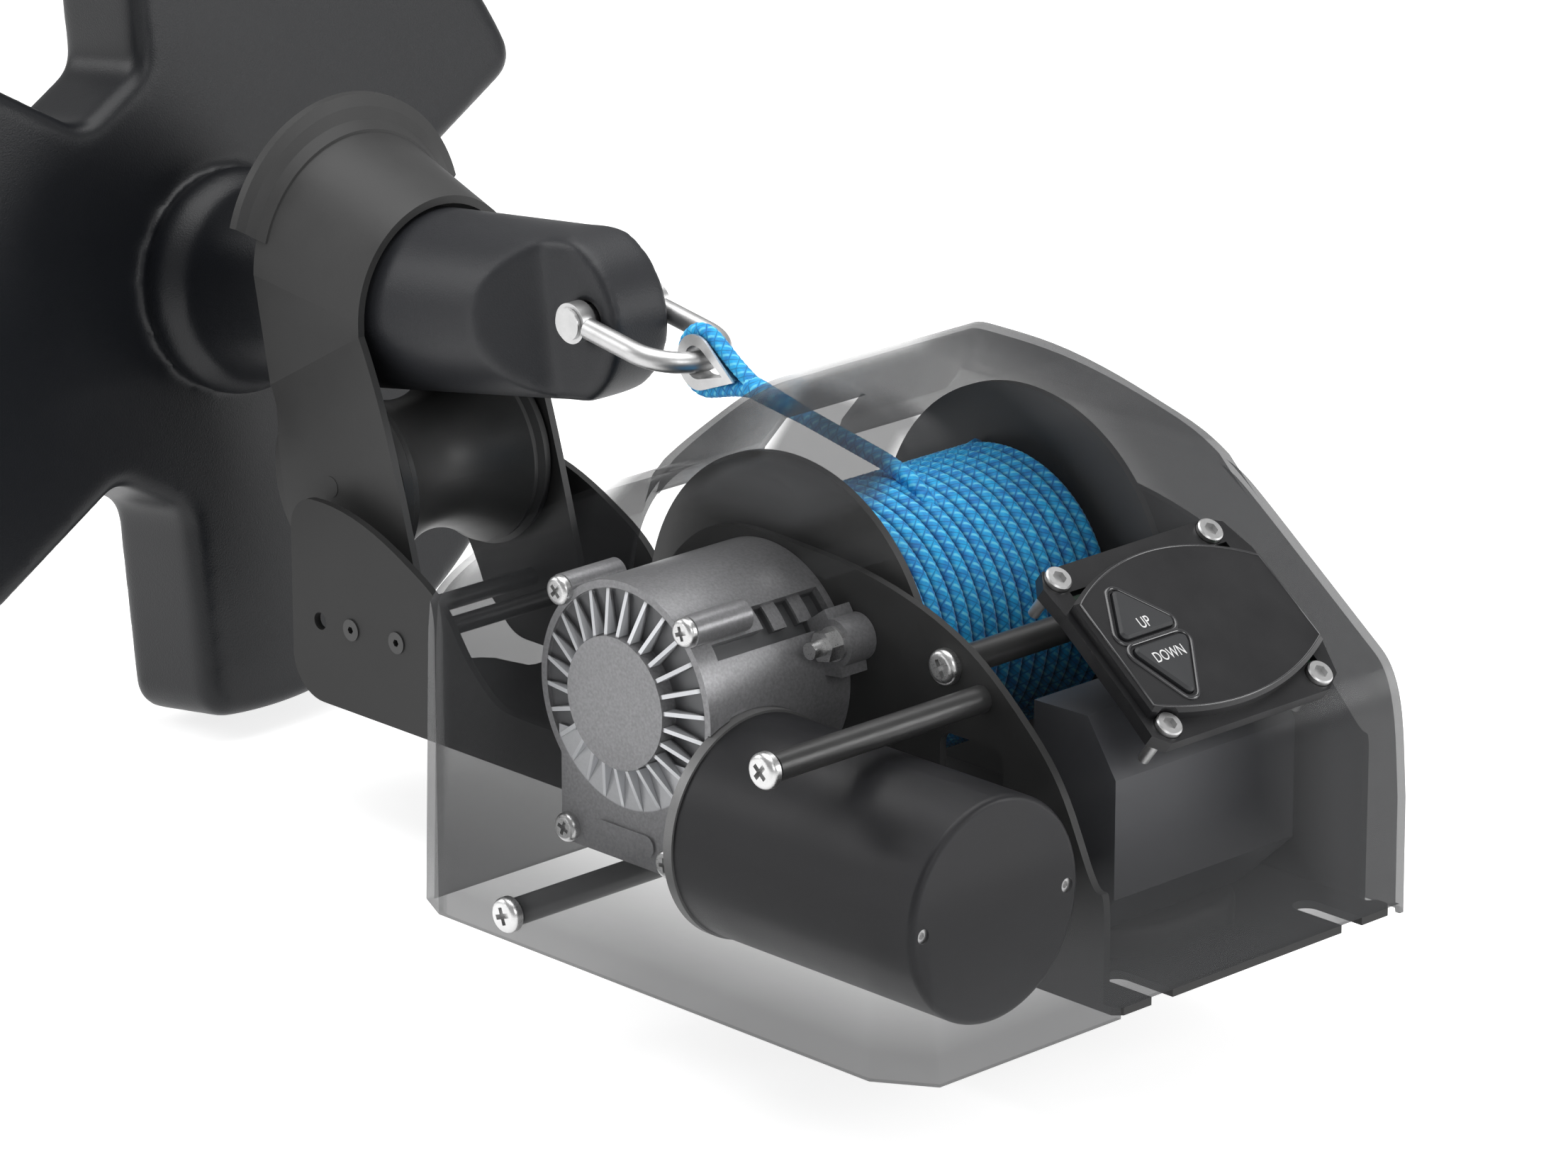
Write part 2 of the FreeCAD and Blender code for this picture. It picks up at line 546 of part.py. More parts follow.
def worm():
    """Steel worm with collars for its thread crests."""
    body = cyl_x(WORM_Y, WORM_Z, 5.6, -84.0, -28.0)
    crests = [turned([(5.0, -1.5), (WORM_R, -0.5), (WORM_R, 0.5), (5.0, 1.5)],
                     (x, WORM_Y, WORM_Z), (1, 0.05, 0)) for x in range(-76, -38, 4)]
    return fuse(body, *crests)


def worm_bearings():
    """Ball bearings at both ends of the worm."""
    return group(cyl_x(WORM_Y, WORM_Z, 11.0, x0, x0 + 6).cut(cyl_x(WORM_Y, WORM_Z, 5.6 + RUNNING, -100, 20))
                 for x0 in (-87.0, -36.0))


# ---------------------------------------------------------------- motor
def motor_flange():
    ring = cyl_x(WORM_Y, WORM_Z, 40.6, MOTOR_FRONT - 4, MOTOR_FRONT)
    return ring.cut(cyl_x(WORM_Y, WORM_Z, 12.0, MOTOR_FRONT - 5, MOTOR_FRONT + 1))


def motor_can():
    tube = cyl_x(WORM_Y, WORM_Z, MOTOR_R, MOTOR_FRONT, MOTOR_REAR - 2.5)
    return tube.cut(cyl_x(WORM_Y, WORM_Z, MOTOR_R - 2.5, MOTOR_FRONT, MOTOR_REAR))


END_SCREW_R = 34.0


def motor_end_cap():
    cap = cyl_x(WORM_Y, WORM_Z, MOTOR_R, MOTOR_REAR - 2.5, MOTOR_REAR)
    cap = cap.makeFillet(2.4, [e for e in cap.Edges if e.BoundBox.XMin > MOTOR_REAR - 0.1])
    cap = cap.fuse(cyl_x(WORM_Y, WORM_Z, 12.0, MOTOR_REAR - 10, MOTOR_REAR - 2.5))
    cap = cap.cut(cyl_x(WORM_Y, WORM_Z, 4.0 + RUNNING, MOTOR_REAR - 11, MOTOR_REAR - 4))
    for y in (-END_SCREW_R, END_SCREW_R):
        cap = cap.cut(cyl_x(WORM_Y + y, WORM_Z, 2.6, MOTOR_REAR - 5, MOTOR_REAR + 1))
    return cap


def motor_tie_screws():
    """Two long screws down the can; their sockets show in the end cap."""
    screws = []
    for y in (-END_SCREW_R, END_SCREW_R):
        rod = cyl_x(WORM_Y + y, WORM_Z, 1.6, MOTOR_FRONT, MOTOR_REAR - 1.5)
        head = cyl_x(WORM_Y + y, WORM_Z, 2.6, MOTOR_REAR - 2.5, MOTOR_REAR - 1.0)
        screws.append(rod.fuse(head).cut(placed(hexagon(2.4, 3), (MOTOR_REAR - 2.0, WORM_Y + y, WORM_Z), (1, 0, 0))))
    return group(screws)


def motor_magnets():
    """Two curved magnets on the inside of the can."""
    ring = cyl_x(WORM_Y, WORM_Z, MOTOR_R - 2.5, 0, 70)
    ring = ring.cut(cyl_x(WORM_Y, WORM_Z, 30.0, -1, 71))
    gap = box(-1, 71, WORM_Y - 45, WORM_Y + 45, WORM_Z - 12, WORM_Z + 12)
    return ring.cut(gap)


def motor_armature():
    """Armature: shaft, slotted iron stack and commutator."""
    shaft = cyl_x(WORM_Y, WORM_Z, 4.0, -28.0, MOTOR_REAR - 4.5)
    stack = cyl_x(WORM_Y, WORM_Z, 28.5, 4, 66)
    for k in range(12):
        slot = box(3, 67, WORM_Y - 1.2, WORM_Y + 1.2, WORM_Z + 20, WORM_Z + 30)
        slot.rotate(V(0, WORM_Y, WORM_Z), V(1, 0, 0), 30 * k)
        stack = stack.cut(slot)
    commutator = cyl_x(WORM_Y, WORM_Z, 12.0, 70, 84)
    return fuse(shaft, stack, commutator)


# ---------------------------------------------------------------- standoffs and cross rod
def cover_standoffs():
    """Black tubes that hold the cover's motor side off the side plate."""
    return group(cyl_y(x, z, 4.9, COVER_NEAR + COVER_T, -BODY_HALF).cut(cyl_y(x, z, 2.6, -200, 0))
                 for x, z in STANDOFFS)


def cover_screws():
    """Pan screws through the cover into the standoffs, and from inside the side plate."""
    outer = pan_screw(6.4, 4.2, 2.6, 22.0)
    inner = pan_screw(6.0, 3.6, 2.6, 14.0)
    screws = []
    for k, (x, z) in enumerate(STANDOFFS):
        screws.append(placed(outer, (x, COVER_NEAR, z), (0, -1, 0), 30 * k))
        screws.append(placed(inner, (x, -BODY_HALF + SHEET, z), (0, 1, 0)))
    return group(screws)


def upper_cross_rod():
    inner = BODY_HALF - SHEET
    return cyl_y(*UPPER_ROD, 5.2, -inner, inner).cut(cyl_y(*UPPER_ROD, 2.6, -80, 80))


def upper_rod_screws():
    near, far = pan_screw(6.4, 4.0, 2.6, 20.0), pan_screw(6.4, 1.8, 2.6, 20.0)
    x, z = UPPER_ROD
    return group([placed(near, (x, -BODY_HALF, z), (0, -1, 0), 10), placed(far, (x, BODY_HALF, z), (0, 1, 0))])


# ---------------------------------------------------------------- relay box
BOX_HALF, BOX_BOTTOM, BOX_SEAM = 45.0, 13.0, 63.4
BOX_PROFILE = [(46.4, 13.0), (74.0, 13.0), (85.0, 28.3), (85.0, 71.5), (71.5, 91.6), (46.4, 91.0)]


def box_solid(inset):
    """The relay box's prism, drawn in by an inset, with one lower far edge cut off."""
    centre_x, centre_z = 66.0, 52.0
    half_x, half_z = 19.5, 39.3
    points = [(centre_x + (x - centre_x) * (1 - inset / half_x), -BOX_HALF + inset,
               centre_z + (z - centre_z) * (1 - inset / half_z)) for x, z in BOX_PROFILE]
    solid = polygon(points, (0, 2 * (BOX_HALF - inset), 0))
    cut = BOX_HALF - inset
    corner = polygon([(0, cut - 15, 0), (0, cut - 15, BOX_BOTTOM + inset), (0, cut + 1, BOX_BOTTOM + 16 + inset),
                      (0, cut + 1, 0)], (120, 0, 0))
    return solid.cut(corner)


def relay_box():
    """Front half of the relay box, open towards its lid."""
    shell = box_solid(0.0).cut(box_solid(2.5))
    return shell.common(box(0, BOX_SEAM, -60, 60, 0, 120))


def relay_box_lid():
    shell = box_solid(0.0).cut(box_solid(2.5))
    return shell.common(box(BOX_SEAM, 120, -60, 60, 0, 120))


def relays():
    """The two reversing relays and their block inside the box."""
    blocks = [box(50.0, 62.0, y, y + 26.0, 34.0, 62.0) for y in (-32.0, 4.0)]
    return group(blocks)


def relay_board():
    return box(62.0, 63.2, -38.0, 38.0, 30.0, 82.0)


def cable_gland():
    """Oval rubber gland under the relay box, where the battery cables leave through the floor."""
    x, y, r, reach = 62.0, -6.0, 24.0, 12.0
    ends = [cyl_z(x, y + sign * reach, r, SHEET, BOX_BOTTOM) for sign in (-1, 1)]
    oval = fuse(box(x - r, x + r, y - reach, y + reach, SHEET, BOX_BOTTOM), *ends)
    return oval.makeFillet(3.0, [e for e in oval.Edges if e.BoundBox.ZMin > BOX_BOTTOM - 0.1])


# ---------------------------------------------------------------- control pod
def in_pod(shape):
    """Place a shape modelled with X down the slope, Y across and Z out of the face."""
    angle = math.degrees(math.atan2(POD_SIN, POD_COS))
    return moved_by(shape, FreeCAD.Placement(V(POD_X, POD_Y, POD_Z), FreeCAD.Rotation(V(0, 1, 0), angle)))


POD_OUTLINE = [(-37.5, -41.0), (-31.0, -45.5), (-19.0, -44.5), (20.0, -45.5), (34.0, -46.5), (39.0, -41.0),
               (39.0, 38.0), (34.0, 46.0), (18.0, 51.0), (-22.0, 51.0), (-35.0, 47.0), (-38.0, 40.0)]
POD_BACK, POD_FACE = -5.0, 0.0


def crown_edges():
    """Outline of the raised centre: two arcs across and two short sides."""
    top = Part.Arc(V(-20, -42, 0), V(-31.5, -2, 0), V(-17, 47, 0)).toShape()
    far = line((-17, 47, 0), (22, 47, 0))
    bottom = Part.Arc(V(22, 47, 0), V(34.5, 4, 0), V(27, -43.0, 0)).toShape()
    near = line((27, -43.0, 0), (-20, -42, 0))
    return [top, far, bottom, near]


def button_outline(kind, grow, height):
    """Triangular button prism, grown by a margin."""
    if kind == "up":
        corners = [(-20.5, -25.0), (-0.2, -7.6), (-0.2, -36.8)]
    else:
        corners = [(3.8, -36.0), (3.8, -8.0), (28.0, -24.0)]
    cx = sum(c[0] for c in corners) / 3
    cy = sum(c[1] for c in corners) / 3
    inradius = 7.2
    scale = 1 + grow / inradius
    points = [(cx + (x - cx) * scale, cy + (y - cy) * scale, 0) for x, y in corners]
    return polygon(points, (0, 0, height))


def round_vertical(solid, radius):
    edges = [e for e in solid.Edges if abs(e.Vertexes[0].Point.x - e.Vertexes[-1].Point.x) < 1e-6
             and abs(e.Vertexes[0].Point.y - e.Vertexes[-1].Point.y) < 1e-6]
    return solid.makeFillet(radius, edges)


def button(kind, grow=0.0, low=0.0, high=5.6):
    shape = round_vertical(button_outline(kind, grow, high - low), 2.2 + grow)
    return shape.translated(V(0, 0, low))


PANEL_TOP = 5.0


def pod_housing():
    """Moulded pod: corner ears, raised crown and wells for the two buttons."""
    base = polygon([(x, y, POD_BACK) for x, y in POD_OUTLINE], (0, 0, POD_FACE - POD_BACK))
    crown = prism(crown_edges(), (0, 0, PANEL_TOP))
    crown = crown.makeChamfer(1.5, [e for e in crown.Edges if e.BoundBox.ZMin > PANEL_TOP - 0.1])
    pod = fuse(base, crown)
    hollow = box(-27, 27, -36, 42, POD_BACK - 1, 1.0)
    pod = pod.cut(hollow)
    for kind in ("up", "down"):
        pod = pod.cut(button(kind, GAP, 0.5, PANEL_TOP + 1))
    for s in (-POD_SCREW_S, POD_SCREW_S):
        for y in (-POD_SCREW_Y, POD_SCREW_Y):
            pod = pod.cut(Part.makeCylinder(2.2, 30, V(s, y, -20)))
            pod = pod.cut(Part.makeCylinder(5.2, 30, V(s, y, POD_FACE - 1.0)))
    return in_pod(pod)


def pod_button(kind):
    """Triangular key with a stem that presses the switch."""
    key = button(kind, 0.0, 2.6, 7.0)
    key = key.makeChamfer(0.9, [e for e in key.Edges if e.BoundBox.ZMin > 6.9])
    s, y = (-7.0, -23.0) if kind == "up" else (11.5, -23.0)
    stem = Part.makeCylinder(1.8, 2.6, V(s, y, 0.0))
    return in_pod(key.fuse(stem))


def pod_springs():
    """Return springs under the keys, one flat coil each."""
    rings = []
    for s in (-7.0, 11.5):
        ring = Part.makeCylinder(3.4, 0.9, V(s, -23.0, -0.4))
        rings.append(ring.cut(Part.makeCylinder(2.4, 3, V(s, -23.0, -1))))
    return group(in_pod(r) for r in rings)


def pod_board():
    """Switch board in the back of the pod."""
    board = box(-26, 26, -35, 41, -3.4, -1.8)
    switches = [box(s - 3.2, s + 3.2, -26.2, -19.8, -1.8, -1.35) for s in (-7.0, 11.5)]
    return in_pod(fuse(board, *switches))


def pod_screws():
    """Socket cap screws through the pod's ears and the cover."""
    screw = cap_screw(4.9, 3.2, 2.1, 17.0)
    return group(in_pod(screw.translated(V(s, y, POD_FACE - 1.0)))
                 for s in (-POD_SCREW_S, POD_SCREW_S) for y in (-POD_SCREW_Y, POD_SCREW_Y))


# ---------------------------------------------------------------- moulded cover
def cover_side(t):
    """Side-view outline of the cover, drawn in by a wall thickness t."""
    y = 0
    front_foot, rear_foot = -134.0 + t, 113.0 - t
    edges = [
        line((front_foot, y, 0), (-127.0 + t, y, 98.0)),
        curve([(-127.0 + t, y, 98.0), (-119.0 + t, y, 126.0), (-98.0 + t * 0.6, y, 149.0 - t),
               (-60.0, y, 158.5 - t), (-20.0, y, 155.8 - t), (14.0 - t * 0.5, y, 147.5 - t),
               (36.0 - t * 0.6, y, 138.8 - t * 0.8)], (0.1, 0, 1), (0.8, 0, -0.6)),
        line((36.0 - t * 0.6, y, 138.8 - t * 0.8), (97.0 - t * 0.6, y, 93.05 - t * 0.8)),
        curve([(97.0 - t * 0.6, y, 93.05 - t * 0.8), (106.0 - t, y, 78.0 - t * 0.4), (108.8 - t, y, 58.0)],
              (0.8, 0, -0.6), (0.08, 0, -1)),
        line((108.8 - t, y, 58.0), (rear_foot, y, 0)),
        line((rear_foot, y, 0), (front_foot, y, 0)),
    ]
    side = prism(edges, (0, COVER_FAR - COVER_NEAR - 2 * t, 0))
    return side.translated(V(0, COVER_NEAR + t, 0))


def cover_front(t):
    """Front-view outline: rounded over the motor side, tight on the far side."""
    x = -150
    near, far = COVER_NEAR + t, COVER_FAR - t
    edges = [
        line((x, near, 0), (x, near, 103.0)),
        curve([(x, near, 103.0), (x, near + 12, 127.0 - t * 0.5), (x, near + 46, 147.0 - t),
               (x, -80, 160.0 - t), (x, -40, 170.0 - t)], (0, 0.0, 1), (0, 1, 0.1)),
        line((x, -40, 170.0 - t), (x, 40, 170.0 - t)),
        curve([(x, 40, 170.0 - t), (x, 62, 165.0 - t), (x, far - 3.5, 148.0 - t * 0.5), (x, far, 116.0)],
              (0, 1, -0.05), (0, 0, -1)),
        line((x, far, 116.0), (x, far, 0)),
        line((x, far, 0), (x, near, 0)),
    ]
    return prism(edges, (300, 0, 0))


def cover_plan(t):
    """Plan view with the cut-off corners of the motor side."""
    near, far, front, rear = COVER_NEAR + t, COVER_FAR - t, -134.0 + t, 113.0 - t
    return polygon([(front, near + 7, 0), (front + 14.5, near, 0), (rear - 20, near, 0), (rear, near + 13, 0),
                    (rear, far - 3, 0), (rear - 3, far, 0), (front + 3, far, 0), (front, far - 3, 0)], (0, 0, 200))


def hump(t):
    """Raised spine over the drum, from the rope mouth back to the control pod."""
    side = [
        line((-124.0 + t, 0, 110.0), (-113.0 + t, 0, 141.0 - t * 0.5)),
        curve([(-113.0 + t, 0, 141.0 - t * 0.5), (-97.0 + t * 0.7, 0, 160.0 - t * 0.7), (-78.0, 0, 178.0 - t),
               (-52.0, 0, 184.0 - t), (-20.0, 0, 177.5 - t), (12.0 - t * 0.5, 0, 161.0 - t),
               (42.0 - t * 0.6, 0, 134.3 - t * 0.8)], (0.5, 0, 0.6), (0.8, 0, -0.6)),
        line((42.0 - t * 0.6, 0, 134.3 - t * 0.8), (42.0 - t * 0.6, 0, 110.0)),
        line((42.0 - t * 0.6, 0, 110.0), (-124.0 + t, 0, 110.0)),
    ]
    body = prism(side, (0, 160, 0)).translated(V(0, -80, 0))
    wide, narrow = 73.0 - t, 46.0 - t
    ends = [
        line((-150, -wide, 110.0), (-150, -wide, 148.0)),
        curve([(-150, -wide, 148.0), (-150, -60.0, 165.5 - t), (-150, -narrow, 181.0 - t),
               (-150, -narrow + 16, 186.0 - t)], (0, 0.4, 1), (0, 1, 0)),
        line((-150, -narrow + 16, 186.0 - t), (-150, narrow - 16, 186.0 - t)),
        curve([(-150, narrow - 16, 186.0 - t), (-150, narrow, 181.0 - t), (-150, 60.0, 165.5 - t),
               (-150, wide, 148.0)], (0, 1, 0), (0, 0.4, -1)),
        line((-150, wide, 148.0), (-150, wide, 110.0)),
        line((-150, wide, 110.0), (-150, -wide, 110.0)),
    ]
    return body.common(prism(ends, (300, 0, 0)))


def cover_mass(t):
    main = cover_side(t).common(cover_front(t)).common(cover_plan(t))
    return main.fuse(hump(t))


def cover():
    """Thin moulded cover, open underneath, with mouths for the chassis, rope and pod."""
    shell = cover_mass(0.0).cut(cover_mass(COVER_T))
    shell = shell.cut(box(-150, 150, -200, 100, -5, 0.4))
    shell = shell.cut(cover_mass(COVER_T).common(box(-150, 150, -180, 90, 0, 5)))
    chassis_mouth = box(-140, -108, -72, 72, -1, 134)
    rope_mouth = box(-130, -98, -20, 20, 130, 153)
    pod_mouth = in_pod(box(-27, 27, -35, 41, -30, 5))
    shell = shell.cut(chassis_mouth).cut(rope_mouth).cut(pod_mouth)
    shell = shell.cut(box(90, 120, -70.5, 70.5, -1, SHEET + 1))
    for x, z in STANDOFFS:
        shell = shell.cut(cyl_y(x, z, 2.6, -180, -150))
    for s in (-POD_SCREW_S, POD_SCREW_S):
        for y in (-POD_SCREW_Y, POD_SCREW_Y):
            shell = shell.cut(in_pod(Part.makeCylinder(2.2, 60, V(s, y, -40))))
    return shell


# ---------------------------------------------------------------- anchor
PLATE_STATION, PLATE_T = 205.0, 50.0              # front face of the fluke plate along the shank
LOBE_R, NOTCH_R = 171.0, 91.0
WEB_T, RIM_T, HUB_R = 7.0, 9.0, 40.0            # fluke plate, its rim, and the hub behind it
FLAT_HALF = 14.2                                  # half the thickness of the shank's flatted end


def in_shank(shape):
    """Place a shape modelled with Z forward along the shank from the shackle hole, X up."""
    t = math.radians(SHANK_TILT)
    axis = V(-math.cos(t), 0, -math.sin(t))
    up = V(-math.sin(t), 0, math.cos(t))
    side = axis.cross(up)
    matrix = FreeCAD.Matrix(up.x, side.x, axis.x, SHANK_X, up.y, side.y, axis.y, 0,
                            up.z, side.z, axis.z, SHANK_Z, 0, 0, 0, 1)
    return moved_by(shape, FreeCAD.Placement(matrix))


def fluke_outline(reach, inner, corner_spread):
    """Three wide flukes with a flat-bottomed notch between each pair."""
    edges = []
    first, last = None, None
    for k in range(3):
        middle = 120.0 * k + 31.0
        def at(r, offset):
            a = math.radians(middle + offset)
            return V(r * math.cos(a), r * math.sin(a), 0)
        points = [at(inner, -49.0), at(reach, -corner_spread), at(reach, 0), at(reach, corner_spread), at(inner, 49.0)]
        if last is not None:
            edges.append(Part.LineSegment(last, points[0]).toShape())
        else:
            first = points[0]
        edges.append(Part.LineSegment(points[0], points[1]).toShape())
        edges.append(Part.Arc(points[1], points[2], points[3]).toShape())
        edges.append(Part.LineSegment(points[3], points[4]).toShape())
        last = points[4]
    edges.append(Part.LineSegment(last, first).toShape())
    return edges


def anchor():
    """River anchor: heavy three-fluke plate on a tapered shank with a flatted eye end."""
    plate = prism(fluke_outline(LOBE_R, NOTCH_R, 40.0), (0, 0, PLATE_T))
    tall = [e for e in plate.Edges if abs(e.Vertexes[0].Point.z - e.Vertexes[-1].Point.z) > PLATE_T - 1]
    plate = plate.makeFillet(12.0, tall)
    rims = [e for e in plate.Edges if e.BoundBox.ZLength < 0.01]
    plate = plate.makeFillet(7.0, rims)
    hollow = prism(fluke_outline(LOBE_R - RIM_T, NOTCH_R - RIM_T, 38.5), (0, 0, PLATE_T))
    hollow = hollow.cut(Part.makeCylinder(HUB_R, 100, V(0, 0, -10))).translated(V(0, 0, WEB_T))
    plate = plate.cut(hollow).translated(V(0, 0, PLATE_STATION))
    shank = Part.makeCone(SHANK_R, SHANK_R + 0.03 * 215, 215)
    tip = Part.makeCylinder(SHANK_R, 52, V(0, 0, -52))
    swell = Part.makeCone(SHANK_R + 5, SHANK_R + 22, 24, V(0, 0, PLATE_STATION - 22))
    swell = swell.makeFillet(11, [e for e in swell.Edges if e.BoundBox.ZMin > PLATE_STATION + 1])
    body = shank.fuse(tip)
    round_end = prism([Part.Arc(V(-SHANK_R, 0, 0), V(0, 0, -SHANK_R), V(SHANK_R, 0, 0)).toShape(),
                       line((SHANK_R, 0, 0), (SHANK_R + 20, 0, 215)),
                       line((SHANK_R + 20, 0, 215), (-SHANK_R - 20, 0, 215)),
                       line((-SHANK_R - 20, 0, 215), (-SHANK_R, 0, 0))], (0, 120, 0)).translated(V(0, -60, 0))
    body = body.common(round_end)
    for sign in (-1, 1):
        flat = polygon([(-60, FLAT_HALF * sign, -60), (-60, FLAT_HALF * sign, 4), (-60, 40 * sign, 32),
                        (-60, 60 * sign, 32), (-60, 60 * sign, -60)], (120, 0, 0))
        body = body.cut(flat)
    solid = fuse(body, swell, plate)
    return in_shank(solid).cut(cyl_y(PIN_X, PIN_Z, 6.5, -40, 40))


# ---------------------------------------------------------------- shackle, thimble and rope
BOW_D = 8.0
SHACKLE_HALF = 18.4                                # centre of the shackle's legs beside the flatted shank
EYE_HALF = 3.0                                     # half the thickness of the shackle's eyes
BOW_TILT, BOW_REACH = 9.0, 49.3                    # degrees below level, and pin to bow centre line


def bow_point(reach, y):
    """A point on the shackle at a reach aft of the pin, square to the pin."""
    a = math.radians(BOW_TILT)
    return V(PIN_X + reach * math.cos(a), y, PIN_Z - reach * math.sin(a))


def bar_along(edges, r):
    """Round bar along a smooth chain of edges."""
    begin = edges[0].valueAt(edges[0].FirstParameter)
    direction = edges[0].tangentAt(edges[0].FirstParameter)
    disc = Part.Wire(Part.makeCircle(r, begin, direction))
    return Part.Wire(edges).makePipeShell([disc], True, False)


def shackle():
    """Bow shackle: two eyes on the pin and a round bow."""
    half, straight = SHACKLE_HALF, BOW_REACH - SHACKLE_HALF
    path = [Part.LineSegment(bow_point(7, -half), bow_point(straight, -half)).toShape(),
            Part.Arc(bow_point(straight, -half), bow_point(BOW_REACH, 0), bow_point(straight, half)).toShape(),
            Part.LineSegment(bow_point(straight, half), bow_point(7, half)).toShape()]
    bar = bar_along(path, BOW_D / 2)
    eyes = [cyl_y(PIN_X, PIN_Z, 7.6, y - EYE_HALF, y + EYE_HALF) for y in (-half, half)]
    return fuse(bar, *eyes).cut(cyl_y(PIN_X, PIN_Z, 5.0 + RUNNING, -40, 40))


def shackle_pin():
    """Plain pin with a low head on each side."""
    half = SHACKLE_HALF + EYE_HALF
    heads = [cyl_y(PIN_X, PIN_Z, 6.0, *span) for span in ((-half - 1.6, -half - 0.1), (half + 0.1, half + 1.6))]
    return fuse(cyl_y(PIN_X, PIN_Z, 5.0, -half - 0.5, half + 0.5), *heads)


LANDING_Y = -7.5                                   # where the taut rope lands on the winding
LANDING_LIFT = WINDING_R + ROPE_D / 2 + 0.3        # rope centre above the drum axis there
HOLE_R, BAND, EYE_TIP = 6.2, 1.5, 20.0             # thimble hole radius, steel thickness, its point
SPLICE_START, SPLICE_END, SPLICE_R = 23.0, 35.0, 4.0


def landing():
    """Point where the taut rope's centre line touches down, tangent to the winding."""
    eye = bow_point(BOW_REACH, 0)
    dx, dz = eye.x - DRUM_X, eye.z - DRUM_Z
    angle = math.atan2(dz, dx) - math.acos(LANDING_LIFT / math.hypot(dx, dz))
    return V(DRUM_X + LANDING_LIFT * math.cos(angle), LANDING_Y, DRUM_Z + LANDING_LIFT * math.sin(angle))


def rope_placement():
    """Frame of the rope's eye: X along the taut rope, Y across, Z up; origin in the shackle's bow."""
    eye = bow_point(BOW_REACH, 0)
    along = (landing() - eye).normalize()
    across = V(0, 0, 1).cross(along).normalize()
    return FreeCAD.Placement(eye, FreeCAD.Rotation(along, across, V(0, 0, 1), "XZY"))


def on_rope(shape):
    return moved_by(shape, rope_placement())


def teardrop(r, tip, half_width):
    """Solid teardrop: a round end about the origin and two straights to a point on +X."""
    lean = math.acos(r / tip)
    up, down = V(r * math.cos(lean), -half_width, r * math.sin(lean)), V(r * math.cos(lean), -half_width,
                                                                           -r * math.sin(lean))
    back, point = V(-r, -half_width, 0), V(tip, -half_width, 0)
    edges = [Part.Arc(up, back, down).toShape(), Part.LineSegment(down, point).toShape(),
             Part.LineSegment(point, up).toShape()]
    return prism(edges, (0, 2 * half_width, 0))


def thimble():
    """Steel thimble: a teardrop trough that the rope's eye lies in."""
    band = teardrop(HOLE_R + BAND, EYE_TIP, 4.6)
    for y in (-4.1, 4.1):
        band = band.fuse(teardrop(HOLE_R + BAND + 2.6, EYE_TIP + 1.0, 0.5).translated(V(0, y, 0)))
    return on_rope(band.removeSplitter().cut(teardrop(HOLE_R, EYE_TIP - 5.0, 9.0)))


def rope_eye():
    """The rope round the thimble and the sewn splice behind its point."""
    inner = HOLE_R + BAND + 0.05
    eye = teardrop(inner + ROPE_D - 0.6, SPLICE_START + 5.0, ROPE_D / 2).cut(teardrop(inner, EYE_TIP + 1.2, 9.0))
    splice = cyl_x(0, 0, SPLICE_R, SPLICE_START, SPLICE_END)
    return on_rope(fuse(eye, splice))


def rope_run():
    length = (landing() - bow_point(BOW_REACH, 0)).Length
    return on_rope(cyl_x(0, 0, ROPE_D / 2, SPLICE_END, length))


# ---------------------------------------------------------------- the parts table
PARTS = {
    "chassis": chassis,
    "nose_cross_rods": nose_rods,
    "nose_spacers": nose_spacers,
    "nose_rod_screws": nose_screws,
    "davit": davit,
    "roller_axle": roller_axle,
    "roller_washers": roller_washers,
    "bow_roller": bow_roller,
    "drum": drum,
    "drum_shaft": drum_shaft,
    "drum_circlips": shaft_key,
    "near_shaft_bush": near_bush,
    "far_shaft_bush": far_bush,
    "rope_winding": rope_winding,
    "gearbox_housing": gearbox_housing,
    "gearbox_cover": gearbox_cover,
    "gearbox_cover_screws": gearbox_cover_screws,
    "gearbox_studs": gearbox_studs,
    "gearbox_nuts": gearbox_nuts,
    "worm_wheel": worm_wheel,
    "output_bearing": gearbox_bearing,
    "worm": worm,
    "worm_bearings": worm_bearings,
    "motor_flange": motor_flange,
    "motor_can": motor_can,
    "motor_end_cap": motor_end_cap,
    "motor_tie_screws": motor_tie_screws,
    "motor_magnets": motor_magnets,
    "motor_armature": motor_armature,
    "cover_standoffs": cover_standoffs,
    "cover_screws": cover_screws,
    "upper_cross_rod": upper_cross_rod,
    "upper_rod_screws": upper_rod_screws,
    "relay_box": relay_box,
    "relay_box_lid": relay_box_lid,
    "relays": relays,
    "relay_board": relay_board,
    "cable_gland": cable_gland,
    "pod_housing": pod_housing,
    "up_button": lambda: pod_button("up"),
    "down_button": lambda: pod_button("down"),
    "button_springs": pod_springs,
    "switch_board": pod_board,
    "pod_screws": pod_screws,
    "cover": cover,
    "anchor": anchor,
    "shackle": shackle,
    "shackle_pin": shackle_pin,
    "thimble": thimble,
    "rope_eye": rope_eye,
    "rope_run": rope_run,
}


def main():
    os.makedirs("parts", exist_ok=True)
    for name, make in PARTS.items():
        shape = make()
        shape.exportStep("parts/" + name + ".step")
        bounds = shape.BoundBox
        print("%-22s solids %2d valid %s volume %10.0f  x %7.1f %7.1f y %7.1f %7.1f z %7.1f %7.1f" % (
            name, len(shape.Solids), shape.isValid(), shape.Volume, bounds.XMin, bounds.XMax,
            bounds.YMin, bounds.YMax, bounds.ZMin, bounds.ZMax))


main()
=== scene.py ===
"""Looks of the bow anchor windlass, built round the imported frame.

Metres throughout, in the part's own frame: +X aft, +Y away from the motor, +Z up.
"""
import bpy
import json
import math
import numpy as np
from mathutils import Matrix, Vector


